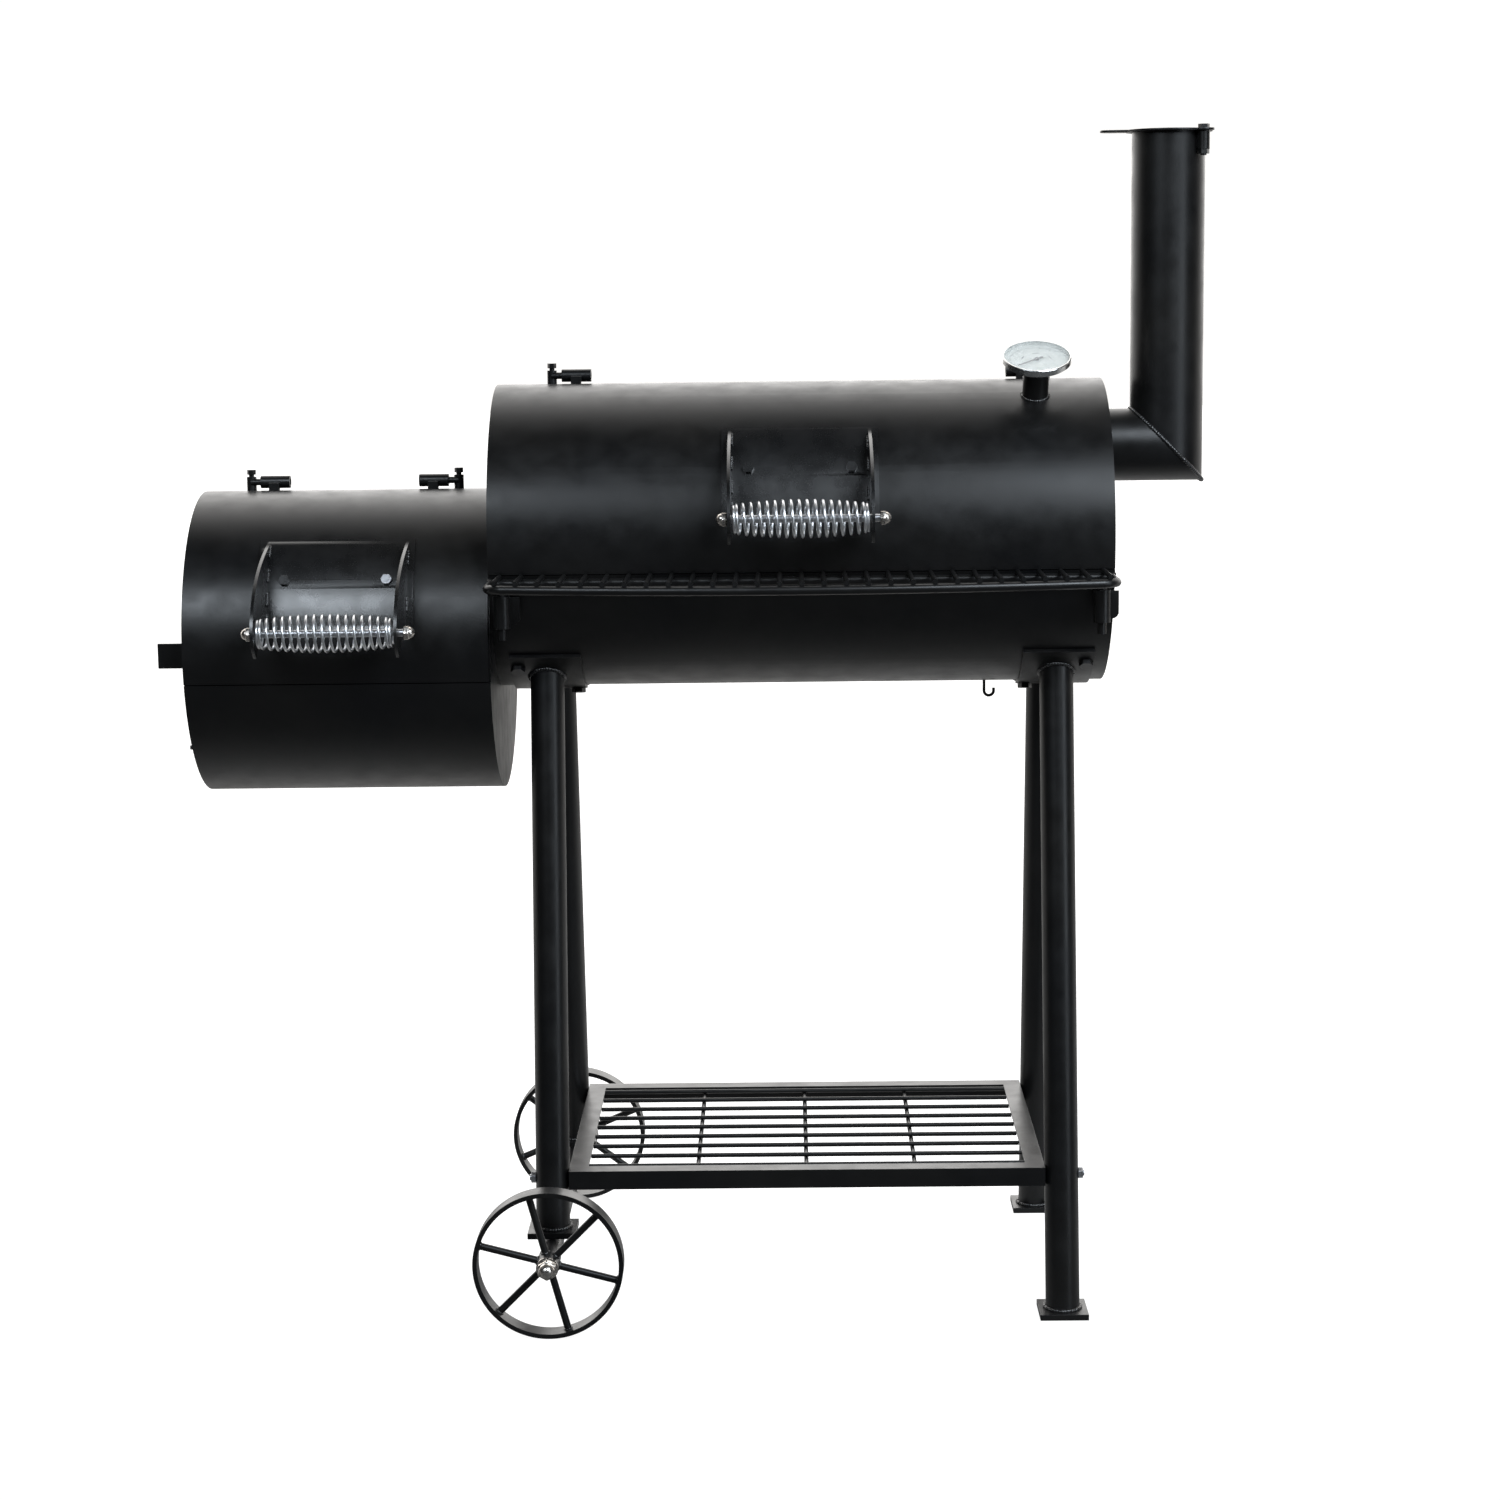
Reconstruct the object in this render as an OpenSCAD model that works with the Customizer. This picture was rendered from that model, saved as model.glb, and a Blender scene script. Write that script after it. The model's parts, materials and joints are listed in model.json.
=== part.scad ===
// Offset barrel smoker: a cooking chamber, a lower firebox beside it, a chimney, a wheeled stand,
// a lower wire shelf and a lift-off front tray. Millimetres, +Z up, floor at Z = 0, front towards -Y.

/* [Barrels] */
// Outer diameter of both barrels
barrel_d = 406.4; // [380:0.2:430]
// Wall of the barrels and their lids
wall = 5; // [3:0.5:7]
// Thickness of the round end plates
end_t = 5; // [3:0.5:8]
// Length of the cooking chamber
cook_len = 810; // [760:5:900]
// Height of the cooking chamber's axis
cook_z = 1024.4; // [980:0.2:1060]
// Length of the firebox
firebox_len = 400; // [360:5:440]
// How far the firebox's axis lies below the cooking chamber's
firebox_drop = 139; // [120:1:150]
// Diameter of the smoke port between the two chambers
port_d = 190; // [150:5:200]

/* [Lids] */
// Angle of the lids' front edge, from the top towards the front
lid_front = 100; // [95:1:104]
// Angle of the lids' rear edge, from the top towards the back
lid_back = 4; // [3:0.5:5]
// Seam between lid and body, as an angle
seam = 0.4; // [0.3:0.1:0.6]
// Hinge axis behind the barrel's axis
hinge_y = 22; // [20:1:24]
// Hinge axis above the barrel's axis
hinge_h = 213.7; // [213:0.1:216]
// Hinge pin diameter
pin_d = 9; // [8:0.5:10]
// Hinge barrel outer diameter
knuckle_d = 17; // [16:0.5:18]

/* [Handles] */
// Half the distance between the outer faces of a handle's cheeks
cheek_x = 93; // [85:1:96]
// Forward distance of the grip rod from the barrel's axis
grip_y = 285; // [270:1:290]
// Height of the grip rod above the barrel's axis
grip_h = 40; // [34:1:46]
// Grip rod diameter
grip_rod_d = 10; // [8:1:12]
// Largest diameter of the coil grip
coil_mid_d = 50; // [44:1:54]
// Diameter of the coil grip at its ends
coil_end_d = 36; // [30:1:40]

/* [Thermometer] */
// Angle of the thermometer from the top towards the front
gauge_a = 25; // [20:1:30]
// Distance of the thermometer from the middle of the cooking chamber
gauge_x = 311; // [290:1:330]
// Diameter of the thermometer's bezel
gauge_d = 90; // [80:1:96]

/* [Chimney] */
// Outer diameter of the chimney pipe
flue_d = 97; // [90:1:102]
// Wall of the chimney pipe
flue_t = 3; // [2:0.5:4]
// Chimney axis beyond the end of the cooking chamber
flue_gap = 89.1; // [80:0.1:110]
// Height of the horizontal stub above the cooking chamber's axis
stub_h = 113.4; // [105:0.2:125]
// Height of the chimney's top edge
flue_top = 1549.6; // [1500:0.2:1600]

/* [Stand] */
// Distance of each pair of legs from the middle of the cooking chamber
leg_x = 338.5; // [320:0.5:345]
// Leg tube diameter
leg_d = 45; // [42:0.5:48]
// Half the distance between front and rear feet on the floor
foot_y = 230; // [220:1:240]
// Half the distance between the leg axes at their top
leg_top_y = 103; // [98:1:108]
// Side of the square foot pads
pad = 64; // [58:1:70]
// Half the depth of the lower shelf
shelf_y = 220; // [210:1:225]
// Height of the lower shelf's top
shelf_z = 196.6; // [180:0.2:220]

/* [Wheels] */
// Wheel radius
wheel_r = 98.4; // [90:0.2:110]
// Distance of a wheel's outer face from the middle
wheel_y = 315.4; // [312:0.2:318]
// Width of a wheel's rim
rim_w = 28; // [18:1:30]
// Axle diameter
axle_d = 16; // [14:1:18]

/* [Tray] */
// Radius of the tray's bowed front rod
tray_bow_r = 1730; // [1600:10:1900]
// Distance of the tray's front rod from the barrel's axis, at its middle
tray_front = 337; // [330:1:337]
// Height of the tray's frame
tray_z = 979; // [976:0.5:980]
// Distance of the tray's rear rod from the barrel's axis
tray_rear = 212; // [211.5:0.5:215]
// Number of cross rods in the tray
tray_rods_n = 29; // [21:1:31]

/* [Hidden] */
$fn = 96;

barrel_r = barrel_d / 2;
inner_r = barrel_r - wall;
fire_z = cook_z - firebox_drop;
cook_half = cook_len / 2;
fire_mid = -cook_half - firebox_len / 2;
fire_left = -cook_half - firebox_len;
flue_x = cook_half + flue_gap;
stub_z = cook_z + stub_h;
flue_r = flue_d / 2;

// gap kept between two pieces that move past each other
run_gap = 0.3;
// radial play of a pin in its bore
play = 0.05;
// clearance holes for M8 and M10 bolts, and the thermometer's threaded neck and its hole
m8_hole = 8.4;
m10_hole = 10.4;
neck_d = 18;
neck_hole = 18.4;
// gap between the firebox lid and the side of the cooking chamber
lid_side_gap = 2;

// chimney damper
damper_r = 58;
damper_t = 3;
damper_ear_r = 14;
damper_pivot = [41, -40];
tongue_reach = 91;

// air damper on the firebox
vent_pitch_r = 78;
vent_r = 24;
vent_swing = 43;
vent_disc_r = 110;
vent_t = 4;
vent_tab_y = 171;
vent_tab_w = 33;
vent_tab_len = 33;

// the object's middle lies between the air damper's tab and the chimney damper's edge
x_low = fire_left - run_gap - vent_t - vent_tab_len;
x_high = flue_x + damper_r;
x_shift = -(x_low + x_high) / 2;

// handle
plate_t = 4;
plate_x = 101.5;
plate_top = 44.5;
plate_low = 80;
grip_nut_hex = 19.6;
grip_nut_h = 14;
handle_bolt_a = 62;
handle_bolt_x = 66.5;
cap_gap = 7;

// hinges: distances from the middle of the lid
cook_hinge_in = 280;
fire_hinge_in = 88;
knuckle_len = 40;
post_gap = 7;
post_d = 13;
post_y = 26;

// thermometer, distances along its own axis
socket_r = 17;
socket_top = 236;
case_floor = 253.5;
case_top = 260.5;
stem_head = 7;
glass_low = 258;
needle_a = 215;

// stand
saddle_t = 5;
saddle_x = 47.5;
saddle_low = 4;
saddle_high = 44;
leg_wall = 3;
pad_t = 8;
axle_tube_r = 13.45;
left_pad_z = wheel_r + axle_tube_r;
leg_top_drop = 179.4;
leg_top_z = cook_z - leg_top_drop;
lean = atan((foot_y - leg_top_y) / leg_top_z);
angle_w = 25;
angle_t = 3;
shelf_x = leg_x - leg_d / 2;
shelf_bolt_z = 184;
shelf_rod_d = 6;
shelf_rod_pitch = 46;
hub_in = 276.5;
hub_out = 321.4;
hub_r = 14.5;
washer_t = 2.2;
washer_r = 14.8;
axle_nut_hex = 27;
axle_nut_h = 21;
tube_end_gap = 0.5;

// tray
tray_rod_d = 12;
cross_rod_d = 6.5;
tray_corner_r = 24;
tray_x = cook_half - 6;
tray_bow_y = tray_bow_r - tray_front;
tray_turn = asin((tray_x - tray_corner_r) / (tray_bow_r - tray_corner_r));
tray_corner_y = tray_bow_y - (tray_bow_r - tray_corner_r) * cos(tray_turn);
tray_pitch = 27.8;
tray_pin_x = 387;
tray_pin_low = 906;
tray_pin_d = 11.4;
socket_low = 921;
socket_high = 963;
tray_end_x = cook_half - 0.5;

// ---- shared shapes ----

// children along X, with their own Z turned to X
module along_x() { rotate([0, 90, 0]) children(); }

// children along Y, with their own Z turned to Y
module along_y() { rotate([-90, 0, 0]) children(); }

// children standing out of a barrel: a is the angle from the top towards the front
module radial(x, z, a) { translate([x, 0, z]) rotate([a, 0, 0]) children(); }

// ring of metal bent about the barrel's axis, from angle a0 to a1, top towards the front
module bent_plate(r, t, x0, x1, a0, a1) {
  rotate([0, 90, 0])
    rotate([0, 0, 180 + a0])
      rotate_extrude(angle = a1 - a0)
        translate([r, x0])
          square([t, x1 - x0]);
}

module tube(d, t, h) {
  difference() {
    cylinder(d = d, h = h);
    translate([0, 0, -1]) cylinder(d = d - 2 * t, h = h + 2);
  }
}

// hexagon head on z = 0 with its shank below, and a nut at the far end of the grip
module bolt_and_nut(d, grip) {
  head_h = 0.6 * d;
  nut_h = 0.75 * d;
  hex_d = 1.9 * d;
  cylinder(d = hex_d, h = head_h, $fn = 6);
  translate([0, 0, -grip - nut_h - 2]) cylinder(d = d, h = grip + nut_h + 2.01);
  translate([0, 0, -grip - nut_h])
    difference() {
      cylinder(d = hex_d, h = nut_h, $fn = 6);
      translate([0, 0, -1]) cylinder(d = d + 0.2, h = nut_h + 2);
    }
}

// domed cap nut on z = 0, dome upwards, with a blind hole for its thread
module cap_nut(d, hex_d, h) {
  dome_r = hex_d * 0.42;
  difference() {
    union() {
      cylinder(d = hex_d, h = h * 0.5, $fn = 6);
      cylinder(r = dome_r, h = h - dome_r);
      translate([0, 0, h - dome_r])
        intersection() {
          sphere(r = dome_r);
          translate([0, 0, -0.5]) cylinder(r = 2 * dome_r, h = 2 * dome_r);
        }
    }
    translate([0, 0, -1]) cylinder(d = d + 0.1, h = h * 0.5 + 1);
  }
}

// ---- barrels ----

module barrel_body(x0, x1) {
  bent_plate(inner_r, wall, x0, x1, lid_front + seam, 360 - lid_back - seam);
}

// round end plate that the lid closes over, with a flat rim where the body is welded to it
module end_plate(x0, x1) {
  rim_gap = 0.5;
  translate([x0, 0, 0]) along_x() cylinder(r = inner_r - rim_gap, h = x1 - x0);
  bent_plate(inner_r - wall, wall, x0, x1, lid_front + seam, 360 - lid_back - seam);
}

module cook_barrel() {
  drain_r = 8;
  drain_x = 225;
  color("#1c1c1e")
    difference() {
      translate([0, 0, cook_z]) barrel_body(-cook_half, cook_half);
      saddle_bolt_places() translate([0, 0, -2 * wall]) cylinder(d = m10_hole, h = 4 * wall);
      translate([drain_x, 0, cook_z - barrel_r - 10]) cylinder(r = drain_r, h = 30);
    }
}

module smoke_port(x) {
  translate([x, 0, cook_z - firebox_drop / 2]) along_x() cylinder(d = port_d, h = 3 * end_t);
}

module cook_end_left() {
  color("#1c1c1e")
    difference() {
      translate([0, 0, cook_z]) end_plate(-cook_half, -cook_half + end_t);
      smoke_port(-cook_half - end_t);
    }
}

module cook_end_right() {
  color("#1c1c1e")
    difference() {
      translate([0, 0, cook_z]) end_plate(cook_half - end_t, cook_half);
      translate([cook_half - 2 * end_t, 0, stub_z]) along_x() cylinder(r = flue_r - flue_t, h = 3 * end_t);
    }
}

module firebox_barrel() {
  color("#1c1c1e") translate([0, 0, fire_z]) barrel_body(fire_left, -cook_half);
}

// four air holes about the middle of the firebox's outer end
module vent_holes(turn) {
  for (k = [0 : 3])
    rotate([45 + 90 * k + turn, 0, 0])
      translate([0, vent_pitch_r, 0])
        along_x()
          cylinder(r = vent_r, h = 6 * end_t, center = true);
}

module firebox_end_left() {
  stop_a = 50.5;
  stop_r = 170;
  color("#1c1c1e") {
    difference() {
      translate([0, 0, fire_z]) end_plate(fire_left, fire_left + end_t);
      translate([fire_left, 0, fire_z]) vent_holes(vent_swing);
      translate([fire_left - end_t, 0, fire_z]) along_x() cylinder(d = 10.2, h = 3 * end_t);
    }
    translate([fire_left - 13, -stop_r * cos(stop_a), fire_z - stop_r * sin(stop_a)])
      along_x()
        cylinder(d = 6, h = 13);
  }
}

module firebox_end_right() {
  color("#1c1c1e")
    difference() {
      translate([0, 0, fire_z]) end_plate(-cook_half - end_t, -cook_half);
      smoke_port(-cook_half - 2 * end_t);
    }
}

// ---- grates ----

// flat bars welded along the inside of a barrel, h below its axis
module rails(x0, x1, z, h) {
  rail_w = 22;
  rail_t = 4;
  half = sqrt(inner_r * inner_r - h * h);
  intersection() {
    for (s = [-1, 1])
      translate([x0, s > 0 ? half - rail_w : -half - rail_w, z - h - rail_t])
        cube([x1 - x0, 2 * rail_w, rail_t]);
    translate([x0, 0, z]) along_x() cylinder(r = inner_r, h = x1 - x0);
  }
}

// loose grate of welded rods, resting with its frame's underside at height z
module grate(x0, x1, half_y, z, frame_d, rod_d, rods) {
  r = frame_d / 2;
  end_d = 0.9 * frame_d;
  mid_d = 0.8 * frame_d;
  step = (x1 - x0 - frame_d) / (rods + 1);
  for (s = [-1, 1]) {
    translate([x0, s * (half_y - r), z + r]) along_x() cylinder(d = frame_d, h = x1 - x0);
    translate([s < 0 ? x0 + r : x1 - r, r - half_y, z + r])
      along_y()
        cylinder(d = end_d, h = 2 * half_y - frame_d);
  }
  translate([x0 + r, 0, z + r]) along_x() cylinder(d = mid_d, h = x1 - x0 - frame_d);
  for (i = [1 : rods])
    translate([x0 + r + i * step, r - half_y, z + frame_d])
      along_y()
        cylinder(d = rod_d, h = 2 * half_y - frame_d);
}

cook_rail_h = 42;
fire_rail_h = 90;
cook_grate_y = 188;
fire_grate_y = 170;
grate_end_gap = 2;
grate_lift_gap = 0.3;

module cook_grate_rails() {
  color("#2a2826") rails(-cook_half + end_t, cook_half - end_t, cook_z, cook_rail_h);
}

module cook_grate_left() {
  color("#4a4744")
    grate(-cook_half + end_t + grate_end_gap, -grate_end_gap, cook_grate_y,
          cook_z - cook_rail_h + grate_lift_gap, 8, 5, 19);
}

module cook_grate_right() {
  color("#4a4744")
    grate(grate_end_gap, cook_half - end_t - grate_end_gap, cook_grate_y,
          cook_z - cook_rail_h + grate_lift_gap, 8, 5, 19);
}

module fire_grate_rails() {
  color("#2a2826") rails(fire_left + end_t, -cook_half - end_t, fire_z, fire_rail_h);
}

module fire_grate() {
  color("#4a4744")
    grate(fire_left + end_t + 2 * grate_end_gap, -cook_half - end_t - 2 * grate_end_gap, fire_grate_y,
          fire_z - fire_rail_h + grate_lift_gap, 10, 9, 16);
}

// ---- lids, hinges and handles ----

module lid_shell(x0, x1, mid, z) {
  difference() {
    translate([0, 0, z]) bent_plate(inner_r, wall, x0, x1, -lid_back, lid_front);
    for (s = [-1, 1])
      radial(mid + s * handle_bolt_x, z, handle_bolt_a)
        translate([0, 0, inner_r - 2 * wall])
          cylinder(d = m8_hole, h = 4 * wall);
  }
}

module cook_lid_shell() {
  color("#1c1c1e")
    difference() {
      lid_shell(-cook_half, cook_half, 0, cook_z);
      radial(gauge_x, cook_z, gauge_a) translate([0, 0, inner_r - wall]) cylinder(d = neck_hole, h = 3 * wall);
    }
}

module firebox_lid_shell() {
  color("#1c1c1e") lid_shell(fire_left, -cook_half - lid_side_gap, fire_mid, fire_z);
}

// the two tubes on a lid, each on a small welded block
module hinge_barrels(mid, z, inner) {
  block_w = 14;
  for (s = [-1, 1])
    translate([mid + (s < 0 ? -inner - knuckle_len : inner), hinge_y, z + hinge_h])
      difference() {
        union() {
          along_x() cylinder(d = knuckle_d, h = knuckle_len);
          difference() {
            translate([(knuckle_len - block_w) / 2, 5 - hinge_y, -12]) cube([block_w, 9, 11.5]);
            translate([-1, -hinge_y, -hinge_h]) along_x() cylinder(r = barrel_r, h = knuckle_len + 2);
          }
        }
        translate([-1, 0, 0]) along_x() cylinder(d = pin_d + 2 * play, h = knuckle_len + 2);
      }
}

// the posts on a body, each with its pin and the stop screw on top that the open lid rests on
module hinge_pins(mid, z, inner) {
  reach = knuckle_len + post_gap + post_d / 2;
  post_low = sqrt(barrel_r * barrel_r - pow(post_y + post_d / 2, 2));
  for (s = [-1, 1])
    translate([mid + s * (inner + reach), 0, z]) {
      difference() {
        translate([0, post_y, post_low - 2]) cylinder(d = post_d, h = hinge_h - post_low + 9);
        translate([-post_d, 0, 0]) along_x() cylinder(r = barrel_r, h = 2 * post_d);
      }
      translate([s < 0 ? 0 : -reach + 1, hinge_y, hinge_h]) along_x() cylinder(d = pin_d, h = reach - 1);
      translate([0, post_y, hinge_h + 7]) {
        cylinder(d = 7, h = 4);
        translate([0, 0, 3]) cylinder(d = 12, h = 6.5, $fn = 6);
      }
    }
}

module cook_hinge_barrels() { color("#232325") hinge_barrels(0, cook_z, cook_hinge_in); }
module cook_hinge_pins() { color("#232325") hinge_pins(0, cook_z, cook_hinge_in); }
module firebox_hinge_barrels() { color("#232325") hinge_barrels(fire_mid, fire_z, fire_hinge_in); }
module firebox_hinge_pins() { color("#232325") hinge_pins(fire_mid, fire_z, fire_hinge_in); }

function bezier(a, b, c, d, t) =
  pow(1 - t, 3) * a + 3 * t * pow(1 - t, 2) * b + 3 * t * t * (1 - t) * c + pow(t, 3) * d;

// outline of a cheek: x is the distance forward of the barrel's axis and y the height above it
cheek_root_r = barrel_r + plate_t;
cheek_tip = [281, 8];
cheek_front = [grip_y + 17, grip_h + 4];
cheek_outline = concat(
  [for (a = [plate_low : -5 : plate_top]) cheek_root_r * [sin(a), cos(a)]],
  [for (t = [0 : 0.1 : 1]) bezier([150, 143], [214, 128], [286, 104], cheek_front, t)],
  [for (t = [0.25 : 0.25 : 1]) bezier(cheek_front, [grip_y + 20, 30], [292, 16], cheek_tip, t)],
  [for (t = [0.25 : 0.25 : 0.75]) bezier(cheek_tip, [268, 22], [240, 32], [206, 34], t)]
);

module handle_bracket(mid, z) {
  translate([mid, 0, z]) {
    difference() {
      bent_plate(barrel_r, plate_t, -plate_x, plate_x, plate_top, plate_low);
      for (s = [-1, 1])
        radial(s * handle_bolt_x, 0, handle_bolt_a)
          translate([0, 0, inner_r])
            cylinder(d = m8_hole, h = 4 * wall);
    }
    for (s = [-1, 1])
      translate([s < 0 ? -cheek_x : cheek_x - plate_t, 0, 0])
        difference() {
          rotate([0, 0, -90])
            rotate([90, 0, 0])
              mirror([0, 0, 1])
                linear_extrude(plate_t)
                  polygon(cheek_outline);
          translate([-1, -grip_y, grip_h]) along_x() cylinder(d = grip_rod_d + 0.4, h = plate_t + 2);
        }
  }
}

module handle_rod(mid, z) {
  translate([mid - cheek_x - 7, -grip_y, z + grip_h])
    along_x()
      cylinder(d = grip_rod_d, h = 2 * cheek_x + cap_gap + 14);
}

module handle_cap_nuts(mid, z) {
  translate([mid, -grip_y, z + grip_h]) {
    translate([cheek_x + cap_gap, 0, 0]) along_x() cap_nut(grip_rod_d, grip_nut_hex, grip_nut_h);
    translate([-cheek_x - 0.1, 0, 0]) mirror([1, 0, 0]) along_x() cap_nut(grip_rod_d, grip_nut_hex, grip_nut_h);
  }
}

module handle_bolts(mid, z) {
  for (s = [-1, 1])
    radial(mid + s * handle_bolt_x, z, handle_bolt_a)
      translate([0, 0, barrel_r + plate_t + 0.25])
        bolt_and_nut(8, wall + plate_t + 0.6);
}

// the coil grip: one wire wound to a barrel shape, its end turns closed
coil_turns = 18;
coil_steps = 12;
coil_sides = 6;
coil_wire_r = 1.9;
coil_half = cheek_x - plate_t - 2.4;
function coil_x(t) = coil_half * (2 * t - 1) * (1 - 0.06 * pow(2 * t - 1, 2)) / 0.94;
function coil_r(t) = (coil_end_d + (coil_mid_d - coil_end_d) * (1 - pow(2 * t - 1, 2))) / 2 - coil_wire_r;
function coil_point(i, k) =
  let (t = i / (coil_turns * coil_steps), turn = 360 * i / coil_steps, side = 360 * k / coil_sides,
       r = coil_r(t) + coil_wire_r * cos(side))
  [coil_x(t) + coil_wire_r * sin(side), r * cos(turn), r * sin(turn)];

module handle_coil(mid, z) {
  last = coil_turns * coil_steps;
  points = [for (i = [0 : last], k = [0 : coil_sides - 1]) coil_point(i, k)];
  sides = [
    for (i = [0 : last - 1], k = [0 : coil_sides - 1])
      let (a = i * coil_sides + k, b = i * coil_sides + (k + 1) % coil_sides)
      [b, a, a + coil_sides, b + coil_sides]
  ];
  ends = [
    [for (k = [0 : coil_sides - 1]) k],
    [for (k = [coil_sides - 1 : -1 : 0]) last * coil_sides + k]
  ];
  translate([mid, -grip_y, z + grip_h]) polyhedron(points, concat(sides, ends), convexity = 10);
}

module cook_handle_bracket() { color("#1c1c1e") handle_bracket(0, cook_z); }
module cook_handle_rod() { color("#c9cbcd") handle_rod(0, cook_z); }
module cook_handle_coil() { color("#c9cbcd") handle_coil(0, cook_z); }
module cook_handle_cap_nuts() { color("#dcd6cc") handle_cap_nuts(0, cook_z); }
module cook_handle_bolts() { color("#1c1c1e") handle_bolts(0, cook_z); }
module firebox_handle_bracket() { color("#1c1c1e") handle_bracket(fire_mid, fire_z); }
module firebox_handle_rod() { color("#c9cbcd") handle_rod(fire_mid, fire_z); }
module firebox_handle_coil() { color("#c9cbcd") handle_coil(fire_mid, fire_z); }
module firebox_handle_cap_nuts() { color("#dcd6cc") handle_cap_nuts(fire_mid, fire_z); }
module firebox_handle_bolts() { color("#1c1c1e") handle_bolts(fire_mid, fire_z); }

// ---- thermometer ----

module gauge() { radial(gauge_x, cook_z, gauge_a) children(); }

module thermometer_socket() {
  color("#1c1c1e")
    difference() {
      gauge() translate([0, 0, inner_r]) cylinder(r = socket_r, h = socket_top - inner_r);
      gauge() translate([0, 0, inner_r - 1]) cylinder(d = neck_hole, h = socket_top);
      translate([0, 0, cook_z]) along_x() cylinder(r = barrel_r, h = cook_len);
    }
}

module thermometer_stem() {
  stem_low = 120;
  color("#c9cbcd")
    gauge() {
      translate([0, 0, stem_low]) cylinder(d = 6, h = socket_top - stem_low);
      translate([0, 0, socket_top - 14]) cylinder(d = neck_d, h = 14);
      translate([0, 0, socket_top]) cylinder(d = 25, h = stem_head, $fn = 6);
    }
}

module thermometer_case() {
  bezel_r = gauge_d / 2;
  step_r = bezel_r - 4;
  floor_z = socket_top + stem_head;
  color("#d2d4d4")
    gauge()
      rotate_extrude()
        polygon([
          [0, floor_z], [24, floor_z], [step_r - 1, floor_z + 6], [step_r, floor_z + 6.5],
          [step_r, floor_z + 10], [bezel_r, floor_z + 10], [bezel_r, case_top - 1],
          [bezel_r - 1, case_top], [bezel_r - 2, case_top], [bezel_r - 2, case_floor], [0, case_floor]
        ]);
}

module thermometer_dial() {
  color("#e4e2dc") gauge() translate([0, 0, case_floor]) cylinder(r = gauge_d / 2 - 2.2, h = 0.8);
}

module thermometer_needle() {
  reach = 31;
  needle_z = 255.4;
  hub_low = 254.6;
  color("#2b2b2b")
    gauge() {
      translate([0, 0, hub_low]) cylinder(r = 3, h = 2.2);
      translate([0, 0, needle_z])
        rotate([0, 0, needle_a])
          linear_extrude(0.8)
            polygon([[-10, -1.6], [-10, 1.6], [reach, 0.5], [reach, -0.5]]);
    }
}

module thermometer_glass() {
  color("#eef3f4") gauge() translate([0, 0, glass_low]) cylinder(r = gauge_d / 2 - 2, h = 1.4);
}

// ---- dampers ----

// tongued disc that turns on the middle of the firebox's outer end
module air_damper() {
  face = fire_left - run_gap;
  color("#1c1c1e")
    translate([face - vent_t, 0, fire_z]) {
      difference() {
        union() {
          along_x() cylinder(r = vent_disc_r, h = vent_t);
          translate([0, -vent_tab_y - vent_t, -vent_tab_w / 2]) cube([vent_t, vent_tab_y, vent_tab_w]);
        }
        vent_holes(0);
        translate([-1, 0, 0]) along_x() cylinder(d = 10 + 2 * play, h = vent_t + 2);
      }
      translate([-vent_tab_len, -vent_tab_y - vent_t, -vent_tab_w / 2])
        cube([vent_tab_len + 1, vent_t, vent_tab_w]);
    }
}

module air_damper_bolt() {
  stack_t = run_gap + vent_t + run_gap;
  color("#2a2a2c")
    translate([fire_left - stack_t, 0, fire_z])
      mirror([1, 0, 0])
        along_x()
          bolt_and_nut(10, stack_t + end_t + 0.1);
}

// half space above the mitre between the chimney's stub and its stack
module mitre_side() {
  big = 900;
  translate([flue_x, 0, stub_z]) rotate([0, 45, 0]) translate([-big, -big, 0]) cube(2 * big);
}

module chimney_stub() {
  color("#1c1c1e")
    difference() {
      translate([cook_half, 0, stub_z]) along_x() tube(flue_d, flue_t, flue_gap + flue_d);
      mitre_side();
    }
}

module chimney_stack() {
  color("#1c1c1e")
    intersection() {
      translate([flue_x, 0, stub_z - flue_d]) tube(flue_d, flue_t, flue_top - stub_z + flue_d);
      mitre_side();
    }
}

module at_damper_pivot(z) { translate([flue_x + damper_pivot[0], damper_pivot[1], z]) children(); }

module damper_lug() {
  lug_h = 24;
  lug_r = 8;
  web_w = 8;
  color("#1c1c1e")
    difference() {
      union() {
        at_damper_pivot(flue_top - lug_h) cylinder(r = lug_r, h = lug_h);
        at_damper_pivot(flue_top - lug_h)
          rotate([0, 0, atan2(damper_pivot[1], damper_pivot[0])])
            translate([-12, -web_w / 2, 1])
              cube([6, web_w, lug_h - 2]);
      }
      translate([flue_x, 0, flue_top - 2 * lug_h]) cylinder(r = flue_r, h = 3 * lug_h);
      at_damper_pivot(flue_top - lug_h - 1) cylinder(d = 8 + 2 * play, h = lug_h + 2);
    }
}

module chimney_damper() {
  tongue_w = 28;
  color("#1c1c1e")
    translate([flue_x, 0, flue_top + run_gap])
      difference() {
        union() {
          cylinder(r = damper_r, h = damper_t);
          translate(damper_pivot) cylinder(r = damper_ear_r, h = damper_t);
          translate([-tongue_reach + tongue_w / 2, 0, 0]) cylinder(d = tongue_w, h = damper_t);
          translate([-tongue_reach + tongue_w / 2, -tongue_w / 2, 0])
            cube([tongue_reach - tongue_w / 2, tongue_w, damper_t]);
        }
        translate([damper_pivot[0], damper_pivot[1], -1]) cylinder(d = 8 + 2 * play, h = damper_t + 2);
      }
}

module damper_bolt() {
  stack_t = 2 * run_gap + damper_t;
  color("#2a2a2c") at_damper_pivot(flue_top + stack_t) bolt_and_nut(8, stack_t + 24.1);
}

// ---- stand ----

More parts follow.
